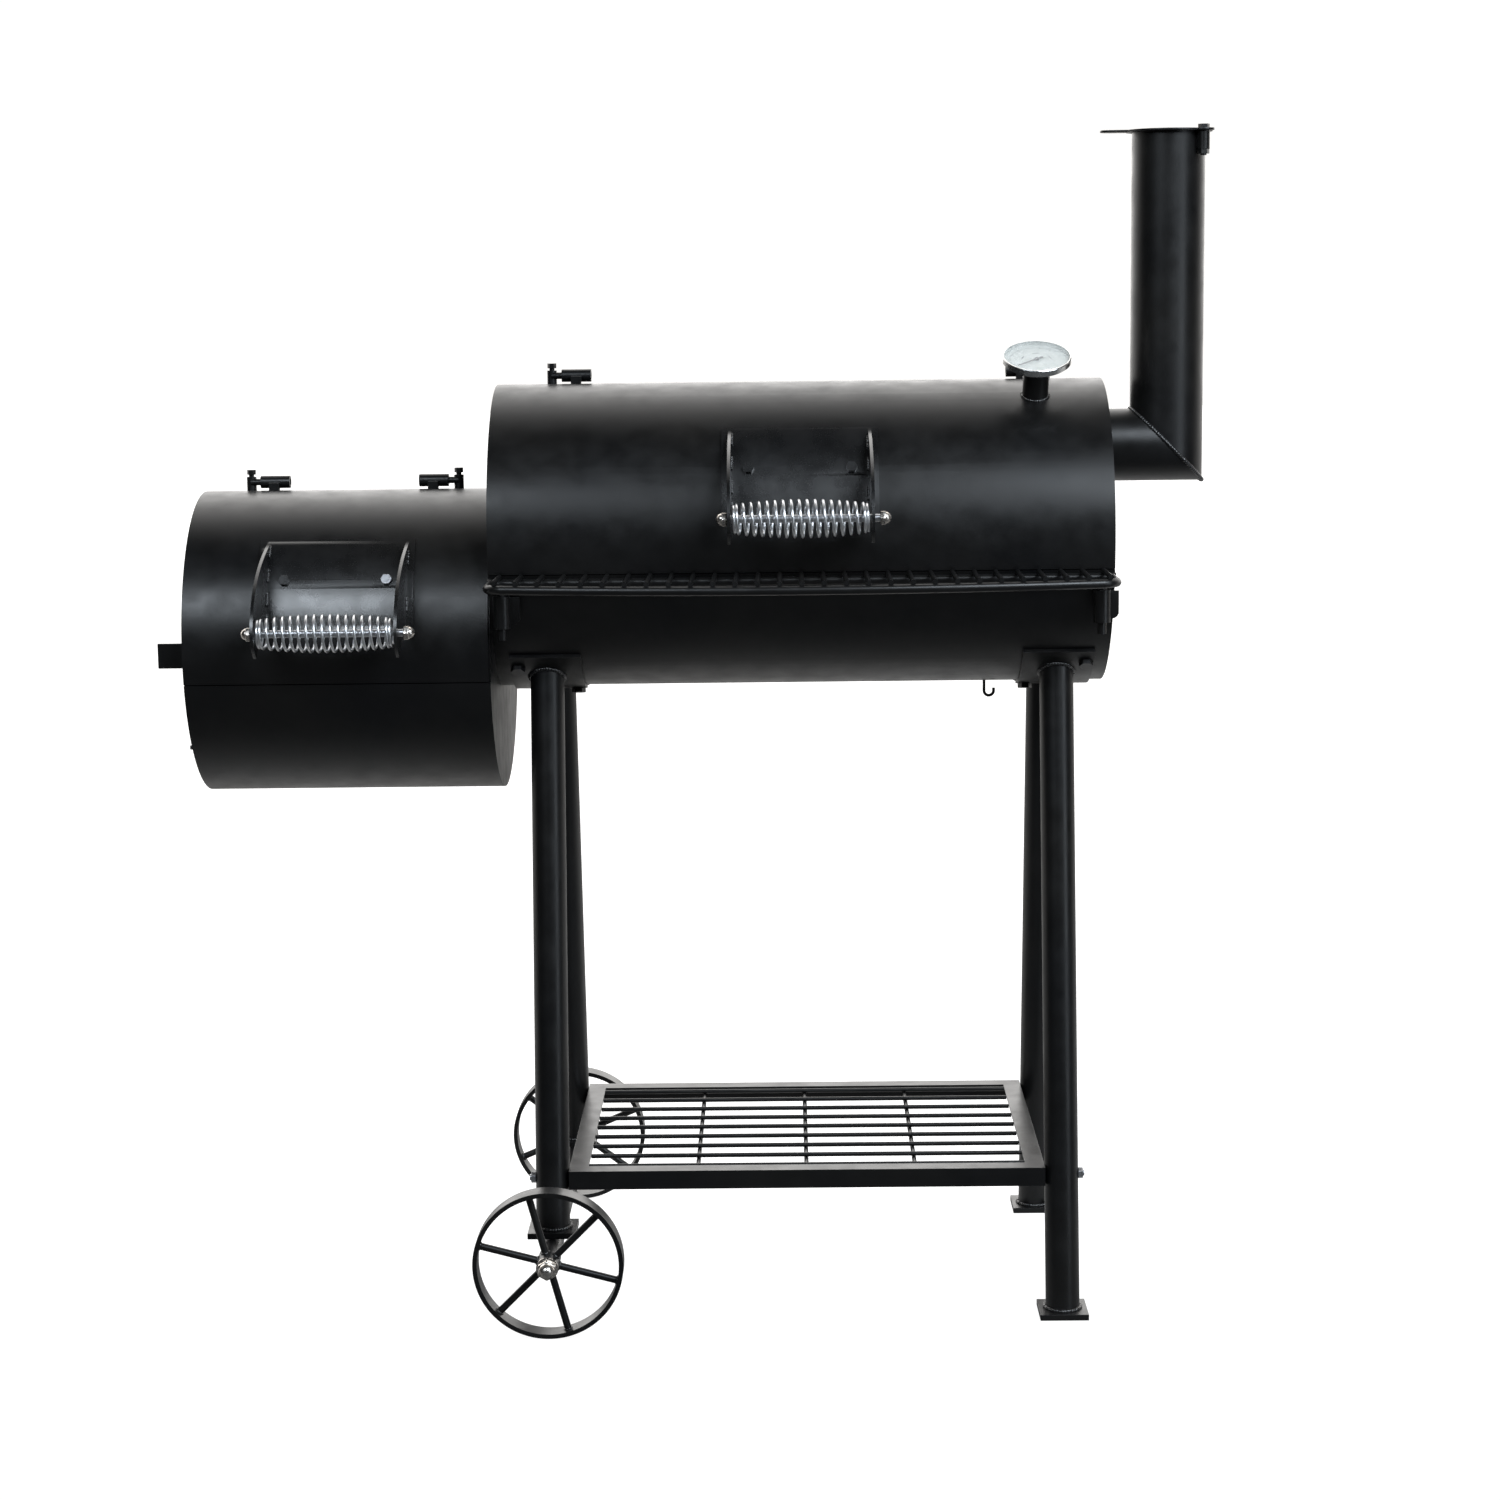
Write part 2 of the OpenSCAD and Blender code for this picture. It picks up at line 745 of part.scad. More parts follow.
// the two bolts of each saddle, on a diagonal: the upper one lies towards the chamber's end
module saddle_bolt_places() {
  upper_a = 37;
  lower_a = 11;
  bolt_x = 37;
  for (end = [-1, 1], side = [-1, 1]) {
    radial(end * (leg_x + bolt_x), cook_z, 180 + side * upper_a) translate([0, 0, barrel_r]) children();
    radial(end * (leg_x - bolt_x), cook_z, 180 + side * lower_a) translate([0, 0, barrel_r]) children();
  }
}

module leg_saddles() {
  color("#1c1c1e")
    difference() {
      for (end = [-1, 1], side = [-1, 1])
        translate([end * leg_x, 0, cook_z])
          bent_plate(barrel_r, saddle_t, -saddle_x, saddle_x,
                     side < 0 ? 180 - saddle_high : 180 + saddle_low,
                     side < 0 ? 180 - saddle_low : 180 + saddle_high);
      saddle_bolt_places() translate([0, 0, -2 * wall]) cylinder(d = m10_hole, h = 4 * wall);
    }
}

module saddle_bolts() {
  color("#2a2a2c") saddle_bolt_places() translate([0, 0, saddle_t + 0.3]) bolt_and_nut(10, saddle_t + wall + 0.7);
}

// tube leg: end is -1 left or 1 right, side is -1 front or 1 rear
module leg(end, side, low) {
  color("#1c1c1e")
    difference() {
      translate([end * leg_x, side * foot_y, 0])
        rotate([side * lean, 0, 0])
          translate([0, 0, -20])
            tube(leg_d, leg_wall, leg_top_z + 70);
      translate([end * leg_x, 0, cook_z])
        along_x()
          cylinder(r = barrel_r + saddle_t, h = 4 * leg_d, center = true);
      translate([end * leg_x - leg_d, side * foot_y - 2 * leg_d, low - 200]) cube([2 * leg_d, 4 * leg_d, 200]);
      translate([end * leg_x, shelf_bolt_y(side), shelf_bolt_z])
        along_x()
          cylinder(d = m8_hole, h = 2 * leg_d, center = true);
    }
}

function leg_y(z) = foot_y - z * tan(lean);
function shelf_bolt_y(side) = side * leg_y(shelf_bolt_z);

module leg_front_left() { leg(-1, -1, left_pad_z + pad_t); }
module leg_rear_left() { leg(-1, 1, left_pad_z + pad_t); }
module leg_front_right() { leg(1, -1, pad_t); }
module leg_rear_right() { leg(1, 1, pad_t); }

module foot_pads() {
  color("#1c1c1e")
    for (end = [-1, 1], side = [-1, 1]) {
      low = end < 0 ? left_pad_z : 0;
      translate([end * leg_x - pad / 2, side * leg_y(low) - pad / 2, low]) cube([pad, pad, pad_t]);
    }
}

module shelf_frame() {
  inner = angle_w - angle_t;
  color("#1c1c1e")
    difference() {
      translate([-shelf_x, -shelf_y, shelf_z - angle_w]) cube([2 * shelf_x, 2 * shelf_y, angle_w]);
      translate([angle_t - shelf_x, angle_t - shelf_y, shelf_z - angle_w - 1])
        cube([2 * (shelf_x - angle_t), 2 * (shelf_y - angle_t), inner + 1]);
      translate([angle_w - shelf_x, angle_w - shelf_y, shelf_z - angle_w])
        cube([2 * (shelf_x - angle_w), 2 * (shelf_y - angle_w), 2 * angle_w]);
      for (side = [-1, 1])
        translate([0, shelf_bolt_y(side), shelf_bolt_z])
          along_x()
            cylinder(d = m8_hole, h = 3 * shelf_x, center = true);
    }
}

// long rods level with the frame's top, butted to its flange, with three cross rods under them
module shelf_rods() {
  rod_z = shelf_z - shelf_rod_d / 2 - 0.4;
  half_x = shelf_x - angle_w;
  half_y = shelf_y - angle_t;
  color("#1c1c1e") {
    for (i = [-4 : 4])
      translate([-half_x, i * shelf_rod_pitch, rod_z]) along_x() cylinder(d = shelf_rod_d, h = 2 * half_x);
    for (i = [-1 : 1])
      translate([i * half_x / 2, -half_y, rod_z - shelf_rod_d + 0.2])
        along_y()
          cylinder(d = shelf_rod_d, h = 2 * half_y);
  }
}

module shelf_bolts() {
  reach = leg_d + angle_t;
  color("#b9bbbd")
    for (end = [-1, 1], side = [-1, 1])
      translate([end * (shelf_x - angle_t - 0.1), shelf_bolt_y(side), shelf_bolt_z])
        mirror([end > 0 ? 1 : 0, 0, 0])
          along_x()
            bolt_and_nut(8, reach + 0.2);
}

// ---- wheels ----

module axle_tube() {
  length = 2 * (hub_in - tube_end_gap);
  color("#1c1c1e")
    translate([-leg_x, -length / 2, wheel_r])
      along_y()
        difference() {
          cylinder(r = axle_tube_r, h = length);
          translate([0, 0, -1]) cylinder(d = axle_d + 0.2, h = length + 2);
        }
}

module axle() {
  length = 2 * (hub_out + tube_end_gap + washer_t + 10);
  color("#b9bbbd") translate([-leg_x, -length / 2, wheel_r]) along_y() cylinder(d = axle_d, h = length);
}

module axle_cap_nuts() {
  color("#dcd6cc")
    for (side = [-1, 1])
      translate([-leg_x, side * (hub_out + tube_end_gap), wheel_r])
        mirror([0, side < 0 ? 1 : 0, 0])
          along_y() {
            difference() {
              cylinder(r = washer_r, h = washer_t);
              translate([0, 0, -1]) cylinder(d = axle_d + 0.2, h = washer_t + 2);
            }
            translate([0, 0, washer_t + 0.1]) cap_nut(axle_d, axle_nut_hex, axle_nut_h);
          }
}

module wheel(side) {
  rim_t = 6;
  spokes = 6;
  spoke_d = 9.5;
  spoke_y = wheel_y - rim_w / 2;
  first_spoke = side < 0 ? 45 : 7;
  color("#1c1c1e")
    difference() {
      union() {
        translate([-leg_x, side < 0 ? -wheel_y : wheel_y - rim_w, wheel_r])
          along_y()
            tube(2 * wheel_r, rim_t, rim_w);
        translate([-leg_x, side < 0 ? -hub_out : hub_in, wheel_r])
          along_y()
            cylinder(r = hub_r, h = hub_out - hub_in);
        for (k = [0 : spokes - 1])
          translate([-leg_x, side * spoke_y, wheel_r])
            rotate([0, first_spoke + 360 / spokes * k, 0])
              cylinder(d = spoke_d, h = wheel_r - rim_t + 1);
      }
      translate([-leg_x, side * (hub_in + hub_out) / 2, wheel_r])
        along_y()
          cylinder(d = axle_d + 2 * play, h = 2 * (hub_out - hub_in), center = true);
    }
}

module wheel_front() { wheel(-1); }
module wheel_rear() { wheel(1); }

// ---- tray and small parts ----

// tray frame: a bowed front rod, two round corners, two side rods, a rear rod and two pins;
// each piece is a little thinner than the one it runs into
module tray_frame() {
  rod_r = tray_rod_d / 2;
  corner_r = rod_r - 0.2;
  side_r = rod_r - 0.4;
  sunk = 1;
  sunk_a = 2;
  color("#1c1c1e")
    translate([0, 0, tray_z]) {
      translate([0, tray_bow_y, 0])
        rotate([0, 0, 270 - tray_turn])
          rotate_extrude(angle = 2 * tray_turn, $fn = 960)
            translate([tray_bow_r, 0])
              circle(r = rod_r, $fn = 96);
      for (s = [0, 1])
        mirror([s, 0, 0]) {
          translate([tray_x - tray_corner_r, tray_corner_y, 0])
            rotate([0, 0, tray_turn - 90 - sunk_a])
              rotate_extrude(angle = 90 - tray_turn + sunk_a)
                translate([tray_corner_r, 0])
                  circle(r = corner_r);
          translate([tray_x, tray_corner_y - sunk, 0])
            along_y()
              cylinder(r = side_r, h = sunk - tray_rear - tray_corner_y);
          translate([tray_pin_x, -tray_rear, tray_pin_low - tray_z])
            cylinder(d = tray_pin_d, h = tray_z - tray_pin_low);
        }
      translate([-tray_end_x, -tray_rear, 0]) along_x() cylinder(r = rod_r, h = 2 * tray_end_x);
    }
}

function tray_front_y(x) = tray_bow_y - sqrt(tray_bow_r * tray_bow_r - x * x);

module tray_rods() {
  rest = tray_z + tray_rod_d / 2 + cross_rod_d / 2 - 0.8;
  back = -tray_rear + 3;
  half = (tray_rods_n - 1) / 2;
  color("#1c1c1e")
    for (i = [-half : half]) {
      x = i * tray_pitch;
      front = max(tray_front_y(x), -tray_front) - 3;
      translate([x, front, rest]) along_y() cylinder(d = cross_rod_d, h = back - front);
    }
}

module tray_sockets() {
  socket_d = 22;
  bore_d = tray_pin_d + 2 * run_gap;
  flange_t = 6;
  color("#1c1c1e")
    difference() {
      for (x = [-tray_pin_x, tray_pin_x])
        translate([x, -tray_rear, socket_low]) {
          cylinder(d = socket_d, h = socket_high - socket_low);
          translate([-5, 0, 3]) cube([10, tray_rear - 160, socket_high - socket_low - 4]);
          translate([0, 7, 10]) cube([22.5, flange_t, socket_high - socket_low - 12]);
          translate([0, 7, 4]) cube([14, flange_t, 20]);
          translate([14, 7, 12.5]) along_y() cylinder(r = 8.5, h = flange_t);
        }
      translate([0, 0, cook_z]) along_x() cylinder(r = barrel_r, h = 2 * cook_len, center = true);
      for (x = [-tray_pin_x, tray_pin_x])
        translate([x, -tray_rear, socket_low - 1]) cylinder(d = bore_d, h = socket_high - socket_low + 2);
    }
}

// J-shaped wire under the drain hole, for a drip bucket
module bucket_hook() {
  wire_d = 4;
  bend_r = 6.5;
  hook_x = 256;
  bend_z = 805;
  color("#1c1c1e")
    translate([hook_x, 0, bend_z]) {
      translate([-bend_r, 0, 0]) cylinder(d = wire_d, h = cook_z - barrel_r - bend_z);
      rotate([90, 0, 0]) rotate([0, 0, 180]) rotate_extrude(angle = 180) translate([bend_r, 0]) circle(d = wire_d);
      translate([bend_r, 0, 0]) cylinder(d = wire_d, h = 4);
    }
}

module placed() { translate([x_shift, 0, 0]) children(); }

placed() cook_barrel();
placed() cook_end_left();
placed() cook_end_right();
placed() cook_grate_rails();
placed() cook_grate_left();
placed() cook_grate_right();
placed() firebox_barrel();
placed() firebox_end_left();
placed() firebox_end_right();
placed() fire_grate_rails();
placed() fire_grate();
placed() cook_lid_shell();
placed() cook_hinge_barrels();
placed() cook_hinge_pins();
placed() cook_handle_bracket();
placed() cook_handle_rod();
placed() cook_handle_coil();
placed() cook_handle_cap_nuts();
placed() cook_handle_bolts();
placed() firebox_lid_shell();
placed() firebox_hinge_barrels();
placed() firebox_hinge_pins();
placed() firebox_handle_bracket();
placed() firebox_handle_rod();
placed() firebox_handle_coil();
placed() firebox_handle_cap_nuts();
placed() firebox_handle_bolts();
placed() thermometer_socket();
placed() thermometer_stem();
placed() thermometer_case();
placed() thermometer_dial();
placed() thermometer_needle();
placed() thermometer_glass();
placed() air_damper();
placed() air_damper_bolt();
placed() chimney_stub();
placed() chimney_stack();
placed() damper_lug();
placed() chimney_damper();
placed() damper_bolt();
placed() leg_saddles();
placed() saddle_bolts();
placed() leg_front_left();
placed() leg_rear_left();
placed() leg_front_right();
placed() leg_rear_right();
placed() foot_pads();
placed() shelf_frame();
placed() shelf_rods();
placed() shelf_bolts();
placed() axle_tube();
placed() axle();
placed() axle_cap_nuts();
placed() wheel_front();
placed() wheel_rear();
placed() tray_frame();
placed() tray_rods();
placed() tray_sockets();
placed() bucket_hook();
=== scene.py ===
"""The looks of an offset smoker: paints and platings, eased edges, weld beads, coil grips and dial."""

from __future__ import annotations

import json
import logging
import math
import random
from dataclasses import dataclass, field
from enum import Enum
from typing import Callable, Iterable, Sequence

import bpy
from mathutils import Matrix, Vector

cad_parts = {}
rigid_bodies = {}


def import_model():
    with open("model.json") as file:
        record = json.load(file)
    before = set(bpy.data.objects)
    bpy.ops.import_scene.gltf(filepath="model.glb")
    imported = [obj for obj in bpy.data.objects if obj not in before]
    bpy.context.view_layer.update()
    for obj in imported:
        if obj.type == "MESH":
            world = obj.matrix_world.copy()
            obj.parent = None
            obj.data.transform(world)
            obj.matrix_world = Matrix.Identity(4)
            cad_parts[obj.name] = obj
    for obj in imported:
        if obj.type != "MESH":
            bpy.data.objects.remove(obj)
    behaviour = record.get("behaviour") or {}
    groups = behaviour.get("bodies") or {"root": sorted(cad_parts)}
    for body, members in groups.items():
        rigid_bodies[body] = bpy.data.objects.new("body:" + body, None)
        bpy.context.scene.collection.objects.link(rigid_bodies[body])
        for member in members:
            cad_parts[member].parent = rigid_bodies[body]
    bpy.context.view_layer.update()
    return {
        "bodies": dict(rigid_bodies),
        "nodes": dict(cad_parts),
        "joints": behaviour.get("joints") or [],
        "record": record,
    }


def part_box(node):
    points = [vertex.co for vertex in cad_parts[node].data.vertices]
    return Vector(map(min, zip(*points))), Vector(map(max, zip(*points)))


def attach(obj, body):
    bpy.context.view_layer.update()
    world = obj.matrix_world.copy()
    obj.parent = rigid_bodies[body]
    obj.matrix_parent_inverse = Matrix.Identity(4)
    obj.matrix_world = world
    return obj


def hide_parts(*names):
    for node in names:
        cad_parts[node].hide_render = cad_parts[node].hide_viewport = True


LOG = logging.getLogger("smoker")
MM = 0.001
Colour = tuple[float, float, float]
Object = bpy.types.Object
X_AXIS = Vector((1.0, 0.0, 0.0))
Y_AXIS = Vector((0.0, 1.0, 0.0))
Z_AXIS = Vector((0.0, 0.0, 1.0))


# ---- shader maths ----


class Wire:
    """A node's output socket that takes part in arithmetic, each step adding a Math node."""

    def __init__(self, recipe: "Recipe", socket: bpy.types.NodeSocket) -> None:
        """Keeps the recipe that owns the nodes and the socket that carries the value."""
        self.recipe = recipe
        self.socket = socket

    def _maths(self, operation: str, first: "Wire | float", second: "Wire | float") -> "Wire":
        """Adds one Math node.

        Args:
            operation: The Math node's operation.
            first: The left value.
            second: The right value.

        Returns:
            The wire that carries the result.
        """
        return self.recipe.node("ShaderNodeMath", {"operation": operation}, {0: first, 1: second})

    def __add__(self, other: "Wire | float") -> "Wire":
        """Adds a value."""
        return self._maths("ADD", self, other)

    def __radd__(self, other: float) -> "Wire":
        """Adds this wire to a number."""
        return self._maths("ADD", other, self)

    def __mul__(self, other: "Wire | float") -> "Wire":
        """Multiplies by a value."""
        return self._maths("MULTIPLY", self, other)

    def __rmul__(self, other: float) -> "Wire":
        """Multiplies a number by this wire."""
        return self._maths("MULTIPLY", other, self)


class Recipe:
    """One material while its nodes are being laid out."""

    def __init__(self, name: str) -> None:
        """Starts a material with a Principled shader and Object coordinates."""
        self.material = bpy.data.materials.new(name)
        self.material.use_nodes = True
        self.tree = self.material.node_tree
        self.shader = self.tree.nodes["Principled BSDF"]
        self.place = self.node("ShaderNodeTexCoord", {}, {}, "Object")

    def node(
        self,
        kind: str,
        settings: dict[str, object],
        inputs: dict[int | str, object],
        output: int | str = 0,
    ) -> Wire:
        """Adds a node.

        Args:
            kind: The node's type.
            settings: Attributes that are set before its sockets.
            inputs: A value or a wire for each input socket.
            output: The output socket that is wanted.

        Returns:
            The wire of that output.
        """
        made = self.tree.nodes.new(kind)
        for key, value in settings.items():
            setattr(made, key, value)
        for key, value in inputs.items():
            self.feed(made.inputs[key], value)
        return Wire(self, made.outputs[output])

    def feed(self, socket: bpy.types.NodeSocket, value: object) -> None:
        """Links a wire to a socket, or sets the socket's own value.

        Args:
            socket: The input socket.
            value: A wire, or a number or colour.
        """
        if isinstance(value, Wire):
            self.tree.links.new(value.socket, socket)
        else:
            socket.default_value = value

    def set(self, **values: object) -> None:
        """Feeds the Principled shader's sockets, whose names are written with underscores."""
        for key, value in values.items():
            self.feed(self.shader.inputs[key.replace("_", " ")], value)

    def noise(self, scale: float, detail: float) -> Wire:
        """A noise value from 0 to 1, with its features per metre and its octaves."""
        inputs = {"Vector": self.place, "Scale": scale, "Detail": detail}
        return self.node("ShaderNodeTexNoise", {}, inputs)

    def blend(self, share: Wire | float, first: Colour, second: Colour) -> Wire:
        """Mixes two colours by a share from 0 to 1, through the Mix node's colour sockets."""
        inputs = {0: share, 6: (*first, 1.0), 7: (*second, 1.0)}
        return self.node("ShaderNodeMix", {"data_type": "RGBA"}, inputs, 2)

    def contrast(self, value: Wire, low: float, high: float) -> Wire:
        """Stretches the part of a value between low and high to 0 and 1."""
        inputs = {0: value, 1: low, 2: high, 3: 0.0, 4: 1.0}
        return self.node("ShaderNodeMapRange", {"clamp": True}, inputs)

    def bump(self, height: Wire, depth: float, strength: float = 1.0) -> Wire:
        """Turns a height from 0 to 1 into a normal, with the given depth in metres."""
        inputs = {"Height": height, "Distance": depth, "Strength": strength}
        return self.node("ShaderNodeBump", {}, inputs, "Normal")


# ---- finishes ----


@dataclass(frozen=True)
class HeatPaint:
    """Satin black high-temperature paint sprayed on rolled steel."""

    name: str
    deep: Colour = (0.0035, 0.0037, 0.0043)
    dusty: Colour = (0.0095, 0.0088, 0.0080)
    smooth: float = 0.29
    rough: float = 0.40
    gloss: float = 0.5
    cloud_scale: float = 5.5
    patch_scale: float = 31.0
    speck_scale: float = 620.0
    speck_share: float = 0.25
    speck_rough: float = 0.08
    wave_scale: float = 9.0
    peel_scale: float = 520.0
    peel_share: float = 0.18
    grain_depth: float = 0.42 * MM

    def material(self) -> bpy.types.Material:
        """Lays out the paint: cloudy tone, patchy gloss, a fine sprayed grain and a few dry specks."""
        recipe = Recipe(self.name)
        cloud = recipe.contrast(recipe.noise(self.cloud_scale, 5.0), 0.35, 0.68)
        patch = recipe.contrast(recipe.noise(self.patch_scale, 4.0), 0.3, 0.7)
        speck = recipe.contrast(recipe.noise(self.speck_scale, 1.0), 0.68, 0.76)
        tone = cloud * (1 - self.speck_share) + speck * self.speck_share
        recipe.set(
            Base_Color=recipe.blend(tone, self.deep, self.dusty),
            Roughness=patch * (self.rough - self.smooth) + self.smooth + speck * self.speck_rough,
            Specular_IOR_Level=self.gloss,
            Normal=self._surface(recipe),
        )
        return recipe.material

    def _surface(self, recipe: Recipe) -> Wire:
        """The sprayed grain over the slight waves of rolled plate, as a normal."""
        waves = recipe.noise(self.wave_scale, 1.0)
        peel = recipe.noise(self.peel_scale, 2.0)
        settled = waves * (1 - self.peel_share) + peel * self.peel_share
        return recipe.bump(settled, self.grain_depth, 0.55)


@dataclass(frozen=True)
class Plate:
    """A plated or polished metal with faint stains and handling marks."""

    name: str
    bright: Colour
    dull: Colour
    smooth: float
    rough: float
    stain_scale: float = 48.0
    mark_scale: float = 260.0
    mark_depth: float = 0.02 * MM

    def material(self) -> bpy.types.Material:
        """Lays out the metal: a stained tone, and marks in its gloss and its surface."""
        recipe = Recipe(self.name)
        stain = recipe.contrast(recipe.noise(self.stain_scale, 4.0), 0.38, 0.72)
        marks = recipe.noise(self.mark_scale, 3.0)
        recipe.set(
            Base_Color=recipe.blend(stain, self.bright, self.dull),
            Metallic=1.0,
            Roughness=recipe.contrast(marks, 0.3, 0.7) * (self.rough - self.smooth) + self.smooth,
            Normal=recipe.bump(marks, self.mark_depth, 0.5),
        )
        return recipe.material


@dataclass(frozen=True)
class SeasonedSteel:
    """Bare steel rods browned by heat and fat."""

    name: str = "seasoned_steel"
    grey: Colour = (0.05, 0.047, 0.044)
    brown: Colour = (0.032, 0.021, 0.014)
    patch_scale: float = 22.0
    crust_scale: float = 240.0
    crust_depth: float = 0.12 * MM

    def material(self) -> bpy.types.Material:
        """Lays out the browned patches over dark grey steel."""
        recipe = Recipe(self.name)
        patch = recipe.contrast(recipe.noise(self.patch_scale, 6.0), 0.38, 0.66)
        crust = recipe.noise(self.crust_scale, 4.0)
        recipe.set(
            Base_Color=recipe.blend(patch, self.grey, self.brown),
            Metallic=0.55,
            Roughness=crust * 0.35 + 0.38,
            Normal=recipe.bump(crust, self.crust_depth, 0.7),
        )
        return recipe.material


@dataclass(frozen=True)
class DialFace:
    """A printed or painted face of the gauge, with a faint mottle between two tones."""

    name: str
    pale: Colour
    warm: Colour
    rough: float = 0.4
    mottle_scale: float = 90.0
    grain_scale: float = 900.0
    grain_depth: float = 0.01 * MM

    def material(self) -> bpy.types.Material:
        """Lays out the print: two tones, a mottled gloss and a very fine grain."""
        recipe = Recipe(self.name)
        mottle = recipe.contrast(recipe.noise(self.mottle_scale, 4.0), 0.35, 0.7)
        recipe.set(
            Base_Color=recipe.blend(mottle, self.pale, self.warm),
            Roughness=mottle * 0.1 + self.rough,
            Normal=recipe.bump(recipe.noise(self.grain_scale, 1.0), self.grain_depth, 0.4),
        )
        return recipe.material


@dataclass(frozen=True)
class ClearGlass:
    """The thermometer's flat glass."""

    name: str = "gauge_glass"
    smear_scale: float = 60.0

    def material(self) -> bpy.types.Material:
        """Lays out thin clear glass as a glossy, mostly see-through sheet."""
        recipe = Recipe(self.name)
        smear = recipe.contrast(recipe.noise(self.smear_scale, 3.0), 0.4, 0.7)
        recipe.set(
            Base_Color=(0.95, 0.97, 0.97, 1.0),
            Roughness=smear * 0.06 + 0.03,
            Alpha=smear * 0.05 + 0.13,
            Specular_IOR_Level=0.6,
        )
        return recipe.material


class Finish(Enum):
    """Every finish on the smoker."""

    PAINT = HeatPaint("satin_black_paint")
    # The bracket plates' paint: smoother and glossier than the lid's, which is real, and with a darkest tone
    # a little lighter than the lid's, which is a painted sheen.
    BRACKET = HeatPaint("bracket_paint_with_painted_sheen", smooth=0.24, rough=0.32, gloss=0.95, deep=(0.005, 0.0053, 0.006))
    BEAD = HeatPaint("painted_weld", smooth=0.22, rough=0.34, gloss=0.9, deep=(0.012, 0.012, 0.013))
    BLACK_BOLT = HeatPaint("painted_bolt", smooth=0.24, rough=0.34, gloss=0.9)
    GRATE = SeasonedSteel()
    CHROME = Plate("spring_chrome", (0.93, 0.94, 0.95), (0.80, 0.81, 0.83), 0.27, 0.38)
    NICKEL = Plate("cap_nut_nickel", (0.88, 0.83, 0.77), (0.72, 0.66, 0.60), 0.18, 0.34)
    ZINC = Plate("zinc_plate", (0.70, 0.71, 0.73), (0.52, 0.53, 0.56), 0.24, 0.42)
    STAINLESS = Plate("gauge_stainless", (0.82, 0.82, 0.81), (0.68, 0.69, 0.69), 0.16, 0.30)
    DIAL = DialFace("gauge_dial", (0.74, 0.76, 0.72), (0.64, 0.66, 0.61))
    DIAL_MARK = DialFace("dial_print", (0.20, 0.20, 0.20), (0.27, 0.27, 0.26))
    NEEDLE = DialFace("needle_paint", (0.16, 0.16, 0.16), (0.22, 0.21, 0.20), 0.32)
    GLASS = ClearGlass()


class Workshop:
    """Makes each finish once and dresses objects in it."""

    def __init__(self) -> None:
        """Starts with no finish made."""
        self._made: dict[Finish, bpy.types.Material] = {}

    def material(self, finish: Finish) -> bpy.types.Material:
        """The finish's material, made at its first use."""
        if finish not in self._made:
            self._made[finish] = finish.value.material()
        return self._made[finish]

    def dress(self, obj: Object, finish: Finish) -> None:
        """Gives an object one finish all over, in place of whatever it had."""
        obj.data.materials.clear()
        obj.data.materials.append(self.material(finish))


# ---- modelling by operators ----


def only(*objects: Object) -> None:
    """Selects these objects and nothing else, and makes the first one active.

    Args:
        objects: One object or more.
    """
    bpy.ops.object.select_all(action="DESELECT")
    for obj in objects:
        obj.select_set(True)
    bpy.context.view_layer.objects.active = objects[0]


def settle(obj: Object) -> Object:
    """Moves an object's place, turn and scale into its mesh.

    Args:
        obj: The object.

    Returns:
        The same object.
    """
    only(obj)
    bpy.ops.object.transform_apply(location=True, rotation=True, scale=True)
    return obj


def join(name: str, pieces: Sequence[Object]) -> Object:
    """Joins objects into one.

    Args:
        name: The name that the joined object bears.
        pieces: The objects, which are used up.

    Returns:
        The joined object, at the origin.
    """
    only(*pieces)
    bpy.ops.object.join()
    joined = bpy.context.object
    joined.name = name
    joined.data.name = name
    return settle(joined)


def copied(obj: Object, place: Matrix) -> Object:
    """Copies an object, with a mesh of its own.

    Args:
        obj: The object.
        place: The move from the object's place to the copy's.

    Returns:
        The copy.
    """
    twin = bpy.data.objects.new(obj.name + "_copy", obj.data.copy())
    bpy.context.scene.collection.objects.link(twin)
    twin.matrix_world = place @ obj.matrix_world
    return twin


def bevel(obj: Object, width: float, segments: int = 2, corner: float = 32.0) -> None:
    """Rounds an object's sharp edges.

    Args:
        obj: The object.
        width: The bevel's width in metres.
        segments: Faces across each rounded edge.
        corner: The smallest angle, in degrees, that counts as sharp.
    """
    only(obj)
    rounding = obj.modifiers.new("rounding", "BEVEL")
    rounding.width = width
    rounding.segments = segments
    rounding.limit_method = "ANGLE"
    rounding.angle_limit = math.radians(corner)
    bpy.ops.object.modifier_apply(modifier=rounding.name)


def smooth(obj: Object, corner: float = 34.0) -> None:
    """Shades an object smooth, apart from edges sharper than the corner angle."""
    only(obj)
    bpy.ops.object.shade_smooth_by_angle(angle=math.radians(corner))


def weigh_normals(obj: Object, weight: int = 90) -> None:
    """Lets an object's large faces set its shading, so that its eased edges leave them flat.

    Args:
        obj: The object.
        weight: How far large faces outweigh small ones, where 50 is evenly.
    """
    only(obj)
    weighting = obj.modifiers.new("weighting", "WEIGHTED_NORMAL")
    weighting.mode = "FACE_AREA"
    weighting.weight = weight
    weighting.keep_sharp = True
    bpy.ops.object.modifier_apply(modifier=weighting.name)


def ring(centre: Vector, first: Vector, second: Vector, radius: float) -> Callable[[float], Vector]:
    """Describes a circle.

    Args:
        centre: Its centre.
        first: The unit vector towards its start.
        second: The unit vector towards its first quarter.
        radius: Its radius.

    Returns:
        A function that gives the point at each share of the way round.
    """

    def path(t: float) -> Vector:
        """The point at a share of the way round."""
        turn = 2 * math.pi * t
        return centre + first * (radius * math.cos(turn)) + second * (radius * math.sin(turn))

    return path


def turned_to(axis: Vector) -> Matrix:
    """The rotation that takes +Z to an axis."""
    return Z_AXIS.rotation_difference(axis).to_matrix().to_4x4()


